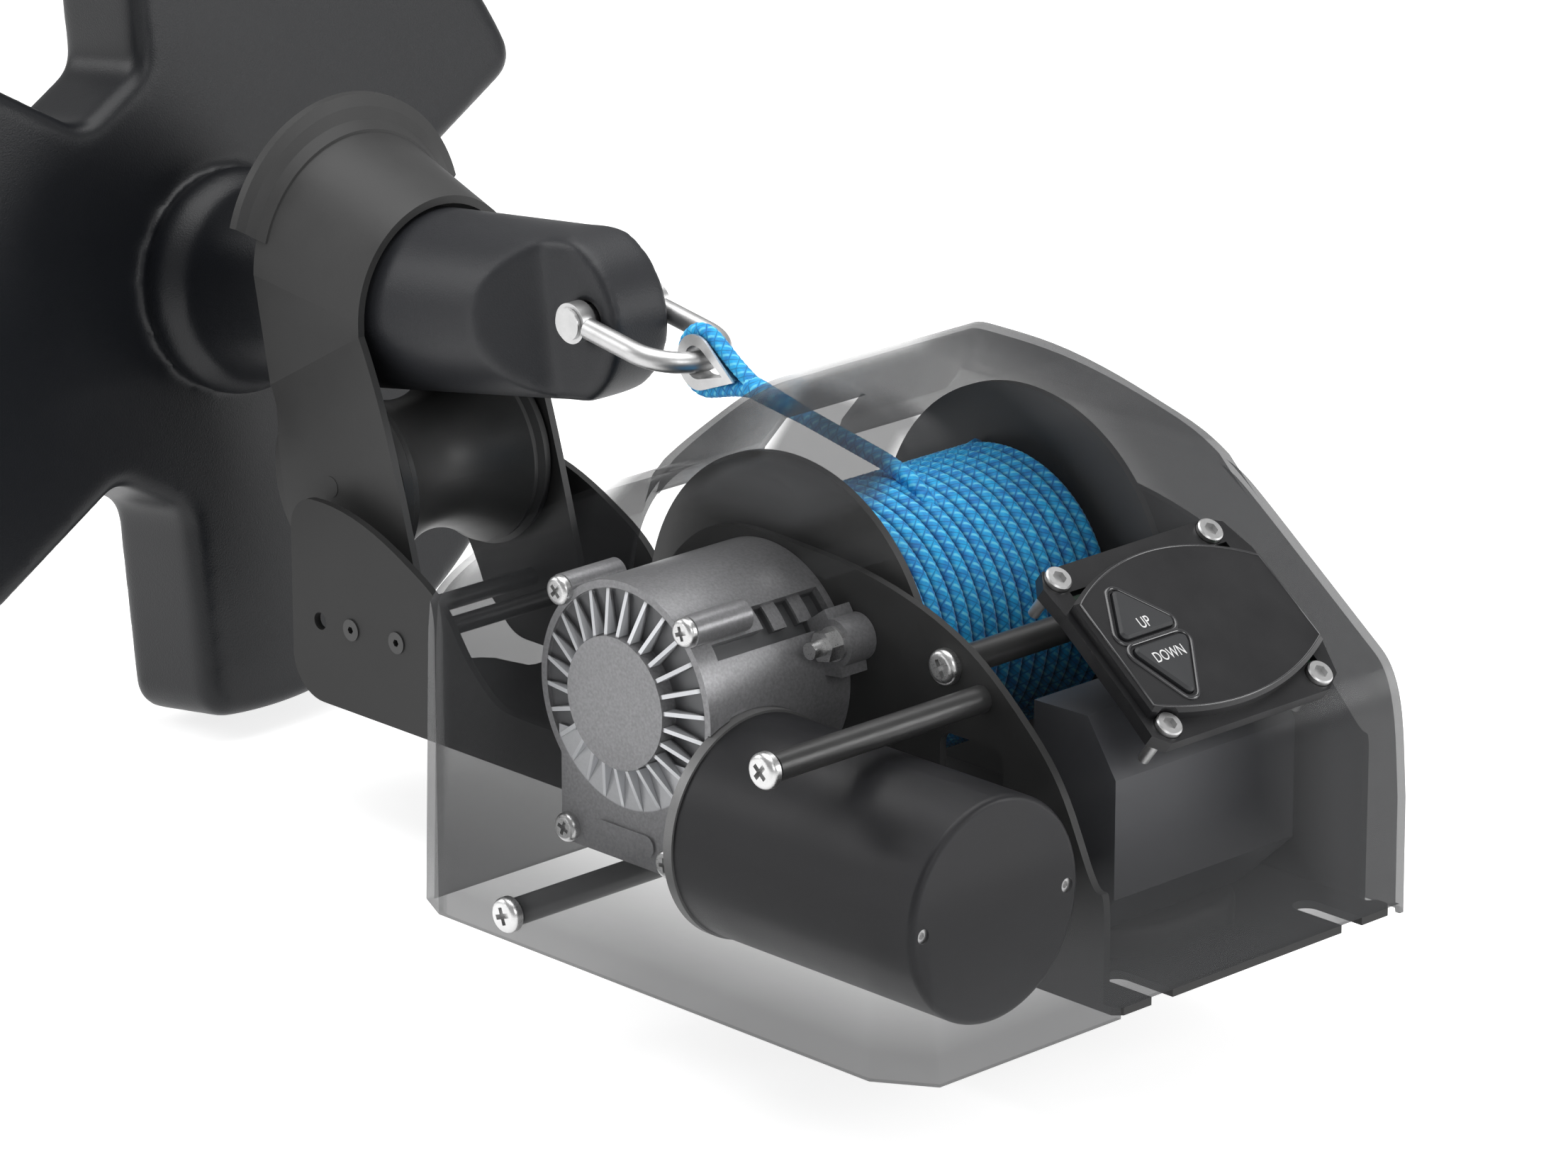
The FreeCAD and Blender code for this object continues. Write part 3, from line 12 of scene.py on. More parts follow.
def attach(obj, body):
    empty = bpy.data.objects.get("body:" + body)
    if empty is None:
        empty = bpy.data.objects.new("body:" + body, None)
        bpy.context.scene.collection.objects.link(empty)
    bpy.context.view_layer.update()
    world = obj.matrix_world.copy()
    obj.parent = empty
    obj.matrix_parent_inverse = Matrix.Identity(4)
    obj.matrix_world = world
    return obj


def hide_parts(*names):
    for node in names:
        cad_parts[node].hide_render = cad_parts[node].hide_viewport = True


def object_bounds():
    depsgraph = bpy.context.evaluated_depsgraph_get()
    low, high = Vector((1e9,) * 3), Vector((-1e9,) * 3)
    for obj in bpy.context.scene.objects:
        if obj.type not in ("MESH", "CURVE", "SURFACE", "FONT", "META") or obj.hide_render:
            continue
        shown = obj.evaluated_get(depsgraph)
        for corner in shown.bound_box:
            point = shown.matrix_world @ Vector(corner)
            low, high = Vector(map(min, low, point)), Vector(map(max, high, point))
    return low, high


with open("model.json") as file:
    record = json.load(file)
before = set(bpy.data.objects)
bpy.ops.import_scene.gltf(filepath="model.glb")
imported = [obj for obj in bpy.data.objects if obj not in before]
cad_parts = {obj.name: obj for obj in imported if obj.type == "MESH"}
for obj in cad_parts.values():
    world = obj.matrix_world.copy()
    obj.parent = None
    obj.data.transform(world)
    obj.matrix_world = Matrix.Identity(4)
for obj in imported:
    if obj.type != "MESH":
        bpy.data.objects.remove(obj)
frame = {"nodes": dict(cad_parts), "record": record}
CAD_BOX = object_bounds()
NODES = frame["nodes"]
MM = 0.001


def link(obj):
    bpy.context.scene.collection.objects.link(obj)
    return obj


# ---------------------------------------------------------------- camera
camera = link(bpy.data.objects.new("camera", bpy.data.cameras.new("camera")))
camera.data.lens = 173.57
camera.data.sensor_width = 36.0
camera.data.clip_end = 20.0
camera.location = (1.7266, -1.7960, 0.9503)
camera.rotation_euler = (math.radians(90 - 18.664), 0, math.radians(45.828))
bpy.context.scene.camera = camera


# ---------------------------------------------------------------- shader helpers
class Shade:
    """A node material with short calls for the nodes that it is made of."""

    def __init__(self, name, roughness=0.5, metallic=0.0, **sockets):
        self.material = bpy.data.materials.new(name)
        self.material.use_nodes = True
        self.tree = self.material.node_tree
        self.bsdf = self.tree.nodes["Principled BSDF"]
        self.bsdf.inputs["Roughness"].default_value = roughness
        self.bsdf.inputs["Metallic"].default_value = metallic
        for socket, value in sockets.items():
            self.bsdf.inputs[socket.replace("_", " ")].default_value = value
        self.coords = self.tree.nodes.new("ShaderNodeTexCoord").outputs["Object"]

    def node(self, kind, settings=None, **inputs):
        made = self.tree.nodes.new("ShaderNode" + kind)
        for key, value in (settings or {}).items():
            setattr(made, key, value)
        for key, value in inputs.items():
            self.feed(made.inputs[key.replace("_", " ")], value)
        return made

    def feed(self, socket, value):
        if isinstance(value, bpy.types.NodeSocket):
            self.tree.links.new(value, socket)
        else:
            socket.default_value = value

    def noise(self, scale, detail=2.0, rough=0.5, vector=None):
        made = self.node("TexNoise", Scale=scale, Detail=detail, Roughness=rough,
                         Vector=vector or self.coords)
        return made.outputs["Fac"]

    def math(self, operation, a, b=0.0):
        made = self.tree.nodes.new("ShaderNodeMath")
        made.operation = operation
        self.feed(made.inputs[0], a)
        self.feed(made.inputs[1], b)
        return made.outputs[0]

    def spread(self, value, low, high, to_low, to_high):
        made = self.node("MapRange", From_Min=low, From_Max=high, To_Min=to_low, To_Max=to_high)
        self.feed(made.inputs["Value"], value)
        return made.outputs["Result"]

    def mix(self, factor, a, b):
        made = self.tree.nodes.new("ShaderNodeMix")
        made.data_type = "RGBA"
        self.feed(made.inputs["Factor"], factor)
        self.feed(made.inputs["A"], rgba(a))
        self.feed(made.inputs["B"], rgba(b))
        return made.outputs["Result"]

    def colour(self, value):
        self.feed(self.bsdf.inputs["Base Color"], value)

    def rough(self, value):
        self.feed(self.bsdf.inputs["Roughness"], value)

    def bump(self, height, distance):
        made = self.node("Bump", Height=height, Distance=distance, Strength=1.0)
        self.feed(self.bsdf.inputs["Normal"], made.outputs["Normal"])


def rgba(value):
    if isinstance(value, bpy.types.NodeSocket):
        return value
    if isinstance(value, (int, float)):
        return (value, value, value, 1.0)
    return (*value, 1.0)


def coated(name, dark, light, roughness, grain, depth, metallic=0.0, **sockets):
    """Painted, powder-coated or moulded surface: soft mottling, and a fine grain in relief."""
    shade = Shade(name, roughness, metallic, **sockets)
    mottle = shade.noise(30.0, 4.0, 0.6)
    speck = shade.noise(grain, 2.0, 0.6)
    both = shade.math("ADD", shade.math("MULTIPLY", mottle, 0.6), shade.math("MULTIPLY", speck, 0.4))
    shade.colour(shade.mix(shade.spread(both, 0.35, 0.65, 0.0, 1.0), dark, light))
    shade.rough(shade.spread(mottle, 0.3, 0.7, roughness - 0.05, roughness + 0.06))
    shade.bump(speck, depth)
    return shade.material


def metal(name, dark, light, roughness, stretch=(1.0, 1.0, 1.0), depth=0.00002, **sockets):
    """Bare or plated metal: fine turning or rolling marks, drawn out along an axis as far as stretch asks,
    and faint stains.
    """
    shade = Shade(name, roughness, 1.0, **sockets)
    vector = shade.node("Mapping", Vector=shade.coords, Scale=stretch).outputs["Vector"]
    marks = shade.noise(2200.0, 3.0, 0.6, vector)
    stain = shade.noise(60.0, 4.0, 0.6)
    shade.colour(shade.mix(shade.spread(stain, 0.3, 0.7, 0.0, 1.0), dark, light))
    shade.rough(shade.spread(marks, 0.3, 0.7, roughness - 0.06, roughness + 0.10))
    shade.bump(marks, depth)
    return shade.material


# ---------------------------------------------------------------- materials
SMOKE_CLEAR, SMOKE_DENSE = 0.012, 0.57              # opacity of each face of the cover's shell
SMOKE_SHADE_BANDS = (                                     # bands of painted shade on the shell: greatest density, then axis, where clear, where dense
    (1.0, (("Y", 0.002, 0.040),)),                                                  # far side
    (1.0, (("X", -0.068, -0.090), ("Y", -0.110, -0.090))),                          # front of the top
    (1.0, (("X", -0.114, -0.122),)),                                                # front wall
    (0.9, (("Z", 0.060, 0.010),)),                                                  # foot
    (1.0, (("X", -0.067, -0.060), ("X", -0.002, -0.014), ("Y", -0.030, -0.040),     # near shoulder
           ("Z", 0.151, 0.157), ("Z", 0.183, 0.177))),
)
FIN_CENTRE = (-0.0585, 0.0870, -0.1375)             # drum axis x and z, and the gearbox cover's face y
FIN_RING = (0.0240, 0.0393)                         # the fins' inner and outer radii


def smoked_plastic():
    """Clear smoke moulding: the tint is real, and how dense it is by place is painted shade, nearly clear on
    the near and aft walls and dense everywhere in the listed bands.
    """
    shade = Shade("smoked_clear", 0.22, IOR=1.46, Specular_IOR_Level=0.14)
    split = shade.node("SeparateXYZ", Vector=shade.coords)
    density = 0.0
    # painted shade: the shell's density by place, built from the bands
    for peak, limits in SMOKE_SHADE_BANDS:
        band = peak
        for axis, clear, dense in limits:
            ramp = sorted((clear, dense))
            ends = (0.0, 1.0) if clear < dense else (1.0, 0.0)
            band = shade.math("MULTIPLY", band, shade.spread(split.outputs[axis], *ramp, *ends))
        density = shade.math("MAXIMUM", density, band)
    rim = shade.node("LayerWeight", Blend=0.12).outputs["Fresnel"]
    alpha = shade.math("ADD", shade.spread(density, 0.0, 1.0, SMOKE_CLEAR, SMOKE_DENSE),
                       shade.math("MULTIPLY", rim, 0.12))
    shade.feed(shade.bsdf.inputs["Alpha"], alpha)
    cloud = shade.noise(9.0, 2.0, 0.5)
    shade.colour(shade.mix(cloud, (0.040, 0.041, 0.043), (0.056, 0.057, 0.059)))
    shade.rough(shade.spread(shade.noise(120.0, 2.0), 0.3, 0.7, 0.18, 0.26))
    return shade.material


def braided_rope(name, flank_shade):
    """Braided blue rope: slanted pale picks on blue, painted shade along the lines between them, and painted
    shade on each turn's flanks as strong as the second argument.
    """
    shade = Shade(name, 0.60, Specular_IOR_Level=0.35, Sheen_Weight=0.15, Sheen_Roughness=0.4)
    uv = shade.node("UVMap", {"uv_map": "braid"}).outputs["UV"]
    split = shade.node("SeparateXYZ", Vector=uv)
    turn, along = split.outputs["X"], split.outputs["Y"]
    slant = shade.math("MULTIPLY", turn, 3.0)
    left = shade.math("FRACT", shade.math("ADD", slant, along))
    right = shade.math("FRACT", shade.math("SUBTRACT", slant, along))
    off_left = shade.math("ABSOLUTE", shade.math("SUBTRACT", left, 0.5))
    off_right = shade.math("ABSOLUTE", shade.math("SUBTRACT", right, 0.5))
    patches = shade.noise(190.0, 2.0, 0.6)
    base = shade.mix(shade.spread(patches, 0.35, 0.65, 0.0, 1.0), (0.008, 0.23, 0.60), (0.014, 0.42, 0.80))
    pale = shade.math("MULTIPLY", shade.spread(off_left, 0.08, 0.16, 1.0, 0.0),
                      shade.spread(off_right, 0.30, 0.44, 1.0, 0.0))
    tinted = shade.mix(shade.math("MULTIPLY", pale, 0.80), base, (0.16, 0.66, 0.86))
    line = shade.math("MINIMUM", shade.spread(off_left, 0.42, 0.48, 1.0, 0.0),
                      shade.spread(off_right, 0.42, 0.48, 1.0, 0.0))
    # painted shade along the lines between the picks
    pick_line_shade = shade.math("MULTIPLY", shade.math("SUBTRACT", 1.0, line), 0.55)
    lined = shade.mix(pick_line_shade, tinted, (0.004, 0.060, 0.20))
    # painted shade on the flanks of each turn, where neighbouring turns shade each other
    facing = shade.math("COSINE", shade.math("MULTIPLY", turn, 2 * math.pi))
    shade.colour(shade.mix(shade.spread(facing, 0.30, 0.86, flank_shade, 0.0), lined, (0.003, 0.035, 0.13)))
    shade.bump(shade.noise(2600.0, 2.0), 0.00006)
    return shade.material


HUB_SPAN = (-0.372, -0.350)                         # from the anchor's flukes to its shank, along x, where the flukes' painted shade fades out


def dipped_vinyl():
    """Thick dipped coating with a fine pebble; the flukes carry painted shade, darker than the shank."""
    shade = Shade("vinyl_coat", 0.45, Specular_IOR_Level=0.36)
    x = shade.node("SeparateXYZ", Vector=shade.coords).outputs["X"]
    mottle = shade.noise(30.0, 4.0, 0.6)
    shank = shade.mix(mottle, (0.0130, 0.0138, 0.0165), (0.0210, 0.0220, 0.0250))
    # painted shade: a darker copy of the coating for the flukes
    shaded_fluke = shade.mix(mottle, (0.0030, 0.0036, 0.0052), (0.0060, 0.0068, 0.0088))
    along = shade.spread(x, *HUB_SPAN, 0.0, 1.0)
    shade.colour(shade.mix(along, shaded_fluke, shank))
    shade.rough(shade.spread(along, 0.0, 1.0, 0.40, 0.44))
    shade.bump(shade.noise(1500.0, 2.0, 0.6), 0.00010)
    return shade.material


def cast_with_fin_highlight(name):
    """Cast grey case whose fins carry a painted highlight, with painted shade in the pockets between them."""
    shade = Shade(name, 0.34, 0.45)
    split = shade.node("SeparateXYZ", Vector=shade.coords)
    across = shade.math("SUBTRACT", split.outputs["X"], FIN_CENTRE[0])
    up = shade.math("SUBTRACT", split.outputs["Z"], FIN_CENTRE[1])
    radius = shade.math("SQRT", shade.math("ADD", shade.math("MULTIPLY", across, across),
                                           shade.math("MULTIPLY", up, up)))
    ring = shade.math("MULTIPLY", shade.spread(radius, FIN_RING[0], FIN_RING[0] + 0.0003, 0.0, 1.0),
                      shade.spread(radius, FIN_RING[1] - 0.0003, FIN_RING[1] + 0.0003, 1.0, 0.0))
    proud = shade.spread(split.outputs["Y"], FIN_CENTRE[2] - 0.0004, FIN_CENTRE[2] + 0.0004, 1.0, 0.0)
    sunk = shade.spread(split.outputs["Y"], FIN_CENTRE[2] + 0.0006, FIN_CENTRE[2] + 0.0010, 0.0, 1.0)
    speck = shade.noise(900.0, 2.0, 0.6)
    cast = shade.mix(shade.spread(speck, 0.3, 0.7, 0.0, 1.0), (0.175, 0.175, 0.181), (0.235, 0.235, 0.242))
    # painted shade in the pockets between the fins
    pocket_shade = shade.mix(shade.math("MULTIPLY", ring, sunk), cast, (0.085, 0.086, 0.090))
    # painted highlight on the fins' proud faces
    shade.colour(shade.mix(shade.math("MULTIPLY", ring, proud), pocket_shade, (0.62, 0.63, 0.65)))
    shade.bump(speck, 0.00002)
    return shade.material


MATERIALS = {
    "frame_black": coated("powder_coat", 0.020, 0.027, 0.50, 2600.0, 0.00001, Specular_IOR_Level=0.25),
    "davit_black": coated("davit_coat", 0.032, 0.041, 0.46, 2600.0, 0.00001, Specular_IOR_Level=0.28),
    "drum_black": coated("drum_coat", 0.044, 0.054, 0.52, 2600.0, 0.00001, Specular_IOR_Level=0.25),
    "gearbox_black": cast_with_fin_highlight("cast_paint"),
    "motor_black": coated("motor_paint", (0.009, 0.009, 0.010), (0.013, 0.013, 0.015), 0.40, 2600.0, 0.000006,
                          Specular_IOR_Level=0.25),
    "motor_ring": coated("turned_ring", 0.15, 0.19, 0.36, 1800.0, 0.00001, metallic=0.5),
    "anchor_vinyl": dipped_vinyl(),
    "rope_blue": braided_rope("braided_rope", 0.95),
    "steel_bright": metal("zinc_plate", 0.50, 0.64, 0.30, depth=0.000008),
    "stainless": metal("stainless", 0.50, 0.64, 0.36, depth=0.000004),
    "roller_black": coated("roller_nylon", 0.026, 0.034, 0.42, 1800.0, 0.00001,
                           Specular_IOR_Level=0.3),
    "pod_black": coated("pod_plastic", (0.009, 0.009, 0.010), (0.013, 0.013, 0.014), 0.34, 2600.0, 0.000008,
                        Specular_IOR_Level=0.4),
    "button_grey": coated("key_rubber", (0.014, 0.015, 0.017), (0.020, 0.021, 0.023), 0.50, 2600.0, 0.00001),
    "box_black": coated("box_plastic", (0.044, 0.045, 0.050), (0.054, 0.055, 0.060), 0.40, 2200.0, 0.00001,
                        Specular_IOR_Level=0.35),
    "cover_smoke": smoked_plastic(),
    "rubber_black": coated("rubber", 0.014, 0.020, 0.62, 2200.0, 0.00001),
    "bronze": metal("bronze", (0.42, 0.27, 0.11), (0.55, 0.38, 0.17), 0.32),
    "worm_steel": metal("ground_steel", 0.36, 0.48, 0.26),
    "magnet": coated("sintered_iron", 0.06, 0.09, 0.6, 1500.0, 0.0001),
    "board_green": coated("laminate", (0.006, 0.030, 0.014), (0.010, 0.045, 0.022), 0.35, 500.0, 0.00003),
    "relay_case": coated("relay_case", (0.02, 0.04, 0.09), (0.04, 0.06, 0.12), 0.3, 900.0, 0.00003),
    "oxide_black": coated("oxide_steel", 0.020, 0.028, 0.36, 2200.0, 0.00001),
}
TAUT_ROPE = braided_rope("taut_braid", 0.0)
BEAD = coated("gloss_bead", (0.020, 0.020, 0.022), (0.030, 0.030, 0.032), 0.16, 2600.0, 0.000004,
              Specular_IOR_Level=0.8)
LABEL = coated("label_ink", 0.56, 0.64, 0.50, 2500.0, 0.00002)
FLOOR = coated("studio_floor", 0.62, 0.64, 0.80, 40.0, 0.00005, Specular_IOR_Level=0.05,
               Emission_Color=(1.0, 1.0, 1.0, 1.0), Emission_Strength=0.76)

for row in frame["record"]["subparts"]:
    for slot in NODES[row["node"]].material_slots:
        slot.material = MATERIALS[row["material_slot"]]


EDGE_ROUNDS = {                                     # width of the rounding on each node's edges, mm
    "chassis": 0.5, "davit": 0.5, "drum": 0.5, "gearbox_housing": 0.7, "gearbox_cover": 0.3,
    "motor_flange": 0.4, "relay_box": 0.9, "relay_box_lid": 0.9, "pod_housing": 0.6,
    "up_button": 0.4, "down_button": 0.4,
}
for name, width in EDGE_ROUNDS.items():
    edge = NODES[name].modifiers.new("edge_round", "BEVEL")
    edge.width = width * MM
    edge.segments = 2
    edge.limit_method = "ANGLE"
    edge.angle_limit = math.radians(38)
    edge.harden_normals = True


# ---------------------------------------------------------------- rope
ROPE_R = 3.15 * MM
DRUM = Vector((-58.5, 0, 87.0)) * MM               # drum axis
WOUND_R = 50.5 * MM                                 # outside of the wound rope
WOUND_HALF = 56.8 * MM                              # half its width between the flanges
LAYERS, TURNS = 5, 17                               # layers, and turns in each
LAYER_STEP = 6.05 * MM
POINTS_PER_TURN = 16
PIN = Vector((-211.5, 0, 164.2)) * MM               # shackle pin
BOW_TILT, BOW_REACH = math.radians(9.0), 49.3 * MM
LANDING_Y, LANDING_LIFT = -7.5 * MM, 53.95 * MM
SPLICE_START, SPLICE_END = 23.0 * MM, 35.0 * MM
SPLICE_SWELL = 0.9 * MM                             # how much thicker the rope is at its splice
EYE_R, EYE_TIP = 10.9 * MM, 26.0 * MM               # rope centre line round the thimble
BRAID_PITCH = 4.8 * MM
WOUND_RELIEF, TAUT_RELIEF = 0.22 * MM, 0.24 * MM    # how far the picks stand out
LANDING_SINK = ((-26, 0), (-12, 0), (0, 1.6), (8, 4.8), (13, 9.0))      # past the landing, and down, mm


def nurbs(name, points, resolution):
    """An open, clamped NURBS curve of order 3 through a route's control points."""
    data = bpy.data.curves.new(name, "CURVE")
    data.dimensions = "3D"
    data.resolution_u = resolution
    spline = data.splines.new("NURBS")
    spline.points.add(len(points) - 1)
    for control, point in zip(spline.points, points):
        control.co = (*point, 1.0)
    spline.order_u = 3
    spline.use_endpoint_u = True
    return data


def centre_line(name, points, resolution):
    """The points along a route's NURBS line."""
    data = nurbs(name + "_route", points, resolution)
    carrier = link(bpy.data.objects.new(name + "_route", data))
    bpy.context.view_layer.update()
    mesh = bpy.data.meshes.new_from_object(carrier)
    line = np.array([v.co[:] for v in mesh.vertices])
    bpy.data.objects.remove(carrier)
    bpy.data.meshes.remove(mesh)
    bpy.data.curves.remove(data)
    return line


def braid_relief(turn, along):
    """Height of the picks, from -1 to 1, round the rope and along it."""
    return np.cos(2 * math.pi * (3 * turn + along)) * np.cos(2 * math.pi * (3 * turn - along))


def rope_mesh(name, line, outward, sides, relief, material, radius=ROPE_R):
    """A braided tube along the line; outward gives the direction of turn 0 at each ring."""
    tangent = np.gradient(line, axis=0)
    tangent /= np.linalg.norm(tangent, axis=1)[:, None]
    out = outward - tangent * (outward * tangent).sum(1)[:, None]
    out /= np.linalg.norm(out, axis=1)[:, None]
    side = np.cross(tangent, out)
    length = np.concatenate([[0.0], np.cumsum(np.linalg.norm(np.diff(line, axis=0), axis=1))])
    turn = np.arange(sides) / sides
    along = length / BRAID_PITCH
    radius = np.broadcast_to(radius, len(line))[:, None]
    lift = np.array(relief)[:, None] * braid_relief(turn[None, :], along[:, None])
    reach = radius + lift
    angle = 2 * math.pi * turn
    rings = (line[:, None, :] + out[:, None, :] * (reach * np.cos(angle))[:, :, None]
             + side[:, None, :] * (reach * np.sin(angle))[:, :, None])
    count = len(line)
    first = np.arange(count - 1)[:, None] * sides + np.arange(sides)[None, :]
    nxt = np.arange(count - 1)[:, None] * sides + (np.arange(sides)[None, :] + 1) % sides
    quads = np.stack([first, nxt, nxt + sides, first + sides], axis=2).reshape(-1, 4)
    faces = [tuple(q) for q in quads.tolist()]
    faces.append(tuple(range(sides - 1, -1, -1)))
    faces.append(tuple(range((count - 1) * sides, count * sides)))
    mesh = bpy.data.meshes.new(name)
    mesh.from_pydata(rings.reshape(-1, 3).tolist(), [], faces)
    uv = mesh.uv_layers.new(name="braid")
    wrap = np.zeros((len(quads), 4, 2))
    wrap[:, 0, 0] = wrap[:, 3, 0] = np.tile(turn, count - 1)
    wrap[:, 1, 0] = wrap[:, 2, 0] = np.tile(turn + 1 / sides, count - 1)
    wrap[:, 0, 1] = wrap[:, 1, 1] = np.repeat(along[:-1], sides)
    wrap[:, 2, 1] = wrap[:, 3, 1] = np.repeat(along[1:], sides)
    flat = np.zeros((len(mesh.loops), 2))
    flat[:len(quads) * 4] = wrap.reshape(-1, 2)
    uv.data.foreach_set("uv", flat.ravel())
    mesh.polygons.foreach_set("use_smooth", [True] * len(mesh.polygons))
    mesh.materials.append(material)
    mesh.update()
    return link(bpy.data.objects.new(name, mesh))


def winding_points():
    """Control points of the wound rope, from the drum's core out, layer over layer."""
    ease = math.cos(math.pi / POINTS_PER_TURN)
    top = WOUND_R - ROPE_R
    half = WOUND_HALF - ROPE_R - 0.2 * MM
    points = []
    for layer in range(LAYERS):
        radius = (top - (LAYERS - 1 - layer) * LAYER_STEP) / ease
        run = TURNS * POINTS_PER_TURN
        for k in range(run + POINTS_PER_TURN):
            travel = min(1.0, k / run)
            climb = max(0.0, (k - run) / POINTS_PER_TURN) if layer < LAYERS - 1 else 0.0
            across = (2 * travel - 1) * half * (1 if layer % 2 == 0 else -1)
            r = radius + climb * LAYER_STEP / ease
            angle = 2 * math.pi * (k / POINTS_PER_TURN + layer * (TURNS + 1))
            points.append((DRUM.x + r * math.sin(angle), across, DRUM.z + r * math.cos(angle)))
        if layer == LAYERS - 1:
            del points[-POINTS_PER_TURN:]
    return points


def wind_rope():
    resolution = 18
    line = centre_line("rope_winding_cord", winding_points(), resolution)
    per_layer = (TURNS + 1) * POINTS_PER_TURN * resolution
    index = np.arange(len(line))
    outer = index >= (LAYERS - 1) * per_layer - POINTS_PER_TURN * resolution
    keep = outer | (index % 9 == 0)
    line, outer = line[keep], outer[keep]
    outward = line - np.array([DRUM.x, 0, DRUM.z])
    outward[:, 1] = 0
    relief = np.where(outer, WOUND_RELIEF, 0.0)
    rope = rope_mesh("wound_rope", line, outward, 20, relief, MATERIALS["rope_blue"])
    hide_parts("rope_winding")
    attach(rope, "drum_spin")


def rope_frame():
    """Matrix whose X runs along the taut rope from the shackle's bow to the drum, Z up."""
    bow = PIN + Vector((math.cos(BOW_TILT), 0, -math.sin(BOW_TILT))) * BOW_REACH
    dx, dz = bow.x - DRUM.x, bow.z - DRUM.z
    angle = math.atan2(dz, dx) - math.acos(LANDING_LIFT / math.hypot(dx, dz))
    land = DRUM + Vector((math.cos(angle), 0, math.sin(angle))) * LANDING_LIFT
    land.y = LANDING_Y
    along = (land - bow).normalized()
    across = Vector((0, 0, 1)).cross(along).normalized()
    up = along.cross(across)
    matrix = Matrix((along, across, up)).transposed().to_4x4()
    matrix.translation = bow
    return matrix, (land - bow).length


def taut_rope():
    matrix, reach = rope_frame()
    runs = [(SPLICE_END + s * MM, 0) for s in (-9, 8, 24, 46)]
    runs += [(reach + s * MM, down * MM) for s, down in LANDING_SINK]
    route = [tuple(matrix @ Vector((s, 0, -down))) for s, down in runs]
    line = centre_line("taut_rope", route, 24)
    outward = np.tile(np.array(matrix.col[2][:3]), (len(line), 1))
    from_bow = np.linalg.norm(line - np.array(matrix.translation), axis=1)
    swell = np.interp(from_bow, (SPLICE_END - 4 * MM, SPLICE_END + 22 * MM), (SPLICE_SWELL, 0.0))
    relief = np.full(len(line), TAUT_RELIEF)
    rope = rope_mesh("taut_rope", line, outward, 24, relief, TAUT_ROPE, ROPE_R + swell)
    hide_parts("rope_run")
    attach(rope, "frame")
    lean = math.acos(EYE_R / EYE_TIP)
    around = [lean + (2 * math.pi - 2 * lean) * k / 12 for k in range(13)]
    loop = [(SPLICE_START + 8 * MM, 0.4 * MM)]
    loop += [(SPLICE_START - 2 * MM, 2.6 * MM)]
    loop += [(EYE_R * math.cos(a) * 1.015, EYE_R * math.sin(a) * 1.015) for a in around]
    loop += [(SPLICE_START - 2 * MM, -2.6 * MM)]
    loop += [(SPLICE_START + 8 * MM, -0.4 * MM)]
    bend = centre_line("rope_eye", [tuple(matrix @ Vector((x, 0, z))) for x, z in loop], 14)
    away = bend - np.array(matrix.translation)
    relief = np.full(len(bend), WOUND_RELIEF)
    eye = rope_mesh("rope_eye_braid", bend, away, 24, relief, TAUT_ROPE, ROPE_R - 0.3 * MM)
    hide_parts("rope_eye")
    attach(eye, "frame")


wind_rope()
taut_rope()


# ---------------------------------------------------------------- anchor
def coated_anchor():
    """The casting under its thick dipped coating: every edge and corner flows into the next."""
    source = NODES["anchor"]
    mesh = source.data.copy()
    mesh.transform(source.matrix_world)
    anchor = link(bpy.data.objects.new("anchor_coated", mesh))
    voxel = anchor.modifiers.new("skin", "REMESH")
    voxel.mode = "VOXEL"
    voxel.voxel_size = 1.8 * MM
    voxel.use_smooth_shade = True
    soften = anchor.modifiers.new("flow", "SMOOTH")
    soften.factor = 0.5
    soften.iterations = 12
    bpy.context.view_layer.update()
    skin = bpy.data.meshes.new_from_object(anchor.evaluated_get(bpy.context.evaluated_depsgraph_get()))
    anchor.modifiers.clear()
    anchor.data = skin
    skin.materials.clear()
    skin.materials.append(MATERIALS["anchor_vinyl"])
    skin.polygons.foreach_set("use_smooth", [True] * len(skin.polygons))
    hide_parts("anchor")
    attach(anchor, "frame")


coated_anchor()


# ---------------------------------------------------------------- control pod
POD = Vector((77.35, -2.0, 114.05)) * MM
POD_SLOPE = Vector((0.8, 0, -0.6))                  # down the face
POD_OUT = Vector((0.6, 0, 0.8))                     # out of the face
KEY_FACE = 7.0 * MM
LETTER_WIDTH = 0.70                                 # of the letters' plain width


def pod_matrix(s, y, h):
    """Frame on the pod's face: X to the operator's right, Y up the slope, Z out of the face."""
    matrix = Matrix((Vector((0, 1, 0)), -POD_SLOPE, POD_OUT)).transposed().to_4x4()
    matrix.translation = POD + POD_SLOPE * s + Vector((0, y, 0)) + POD_OUT * h
    return matrix


def key_label(word, size, s, y, body):
    """A word printed on a key."""
    data = bpy.data.curves.new("label", "FONT")
    data.body = word
    data.size = size
    data.extrude = 0.06 * MM
    data.align_x = "CENTER"
    data.align_y = "CENTER"
    carrier = link(bpy.data.objects.new("label", data))
    bpy.context.view_layer.update()
    mesh = bpy.data.meshes.new_from_object(carrier)
    bpy.data.objects.remove(carrier)
    narrow = Matrix.Diagonal((LETTER_WIDTH, 1.0, 1.0, 1.0))
    mesh.transform(pod_matrix(s, y, KEY_FACE + 0.05 * MM) @ narrow)
    mesh.materials.clear()
    mesh.materials.append(LABEL)
    label = link(bpy.data.objects.new("key_label_" + word.lower(), mesh))
    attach(label, body)


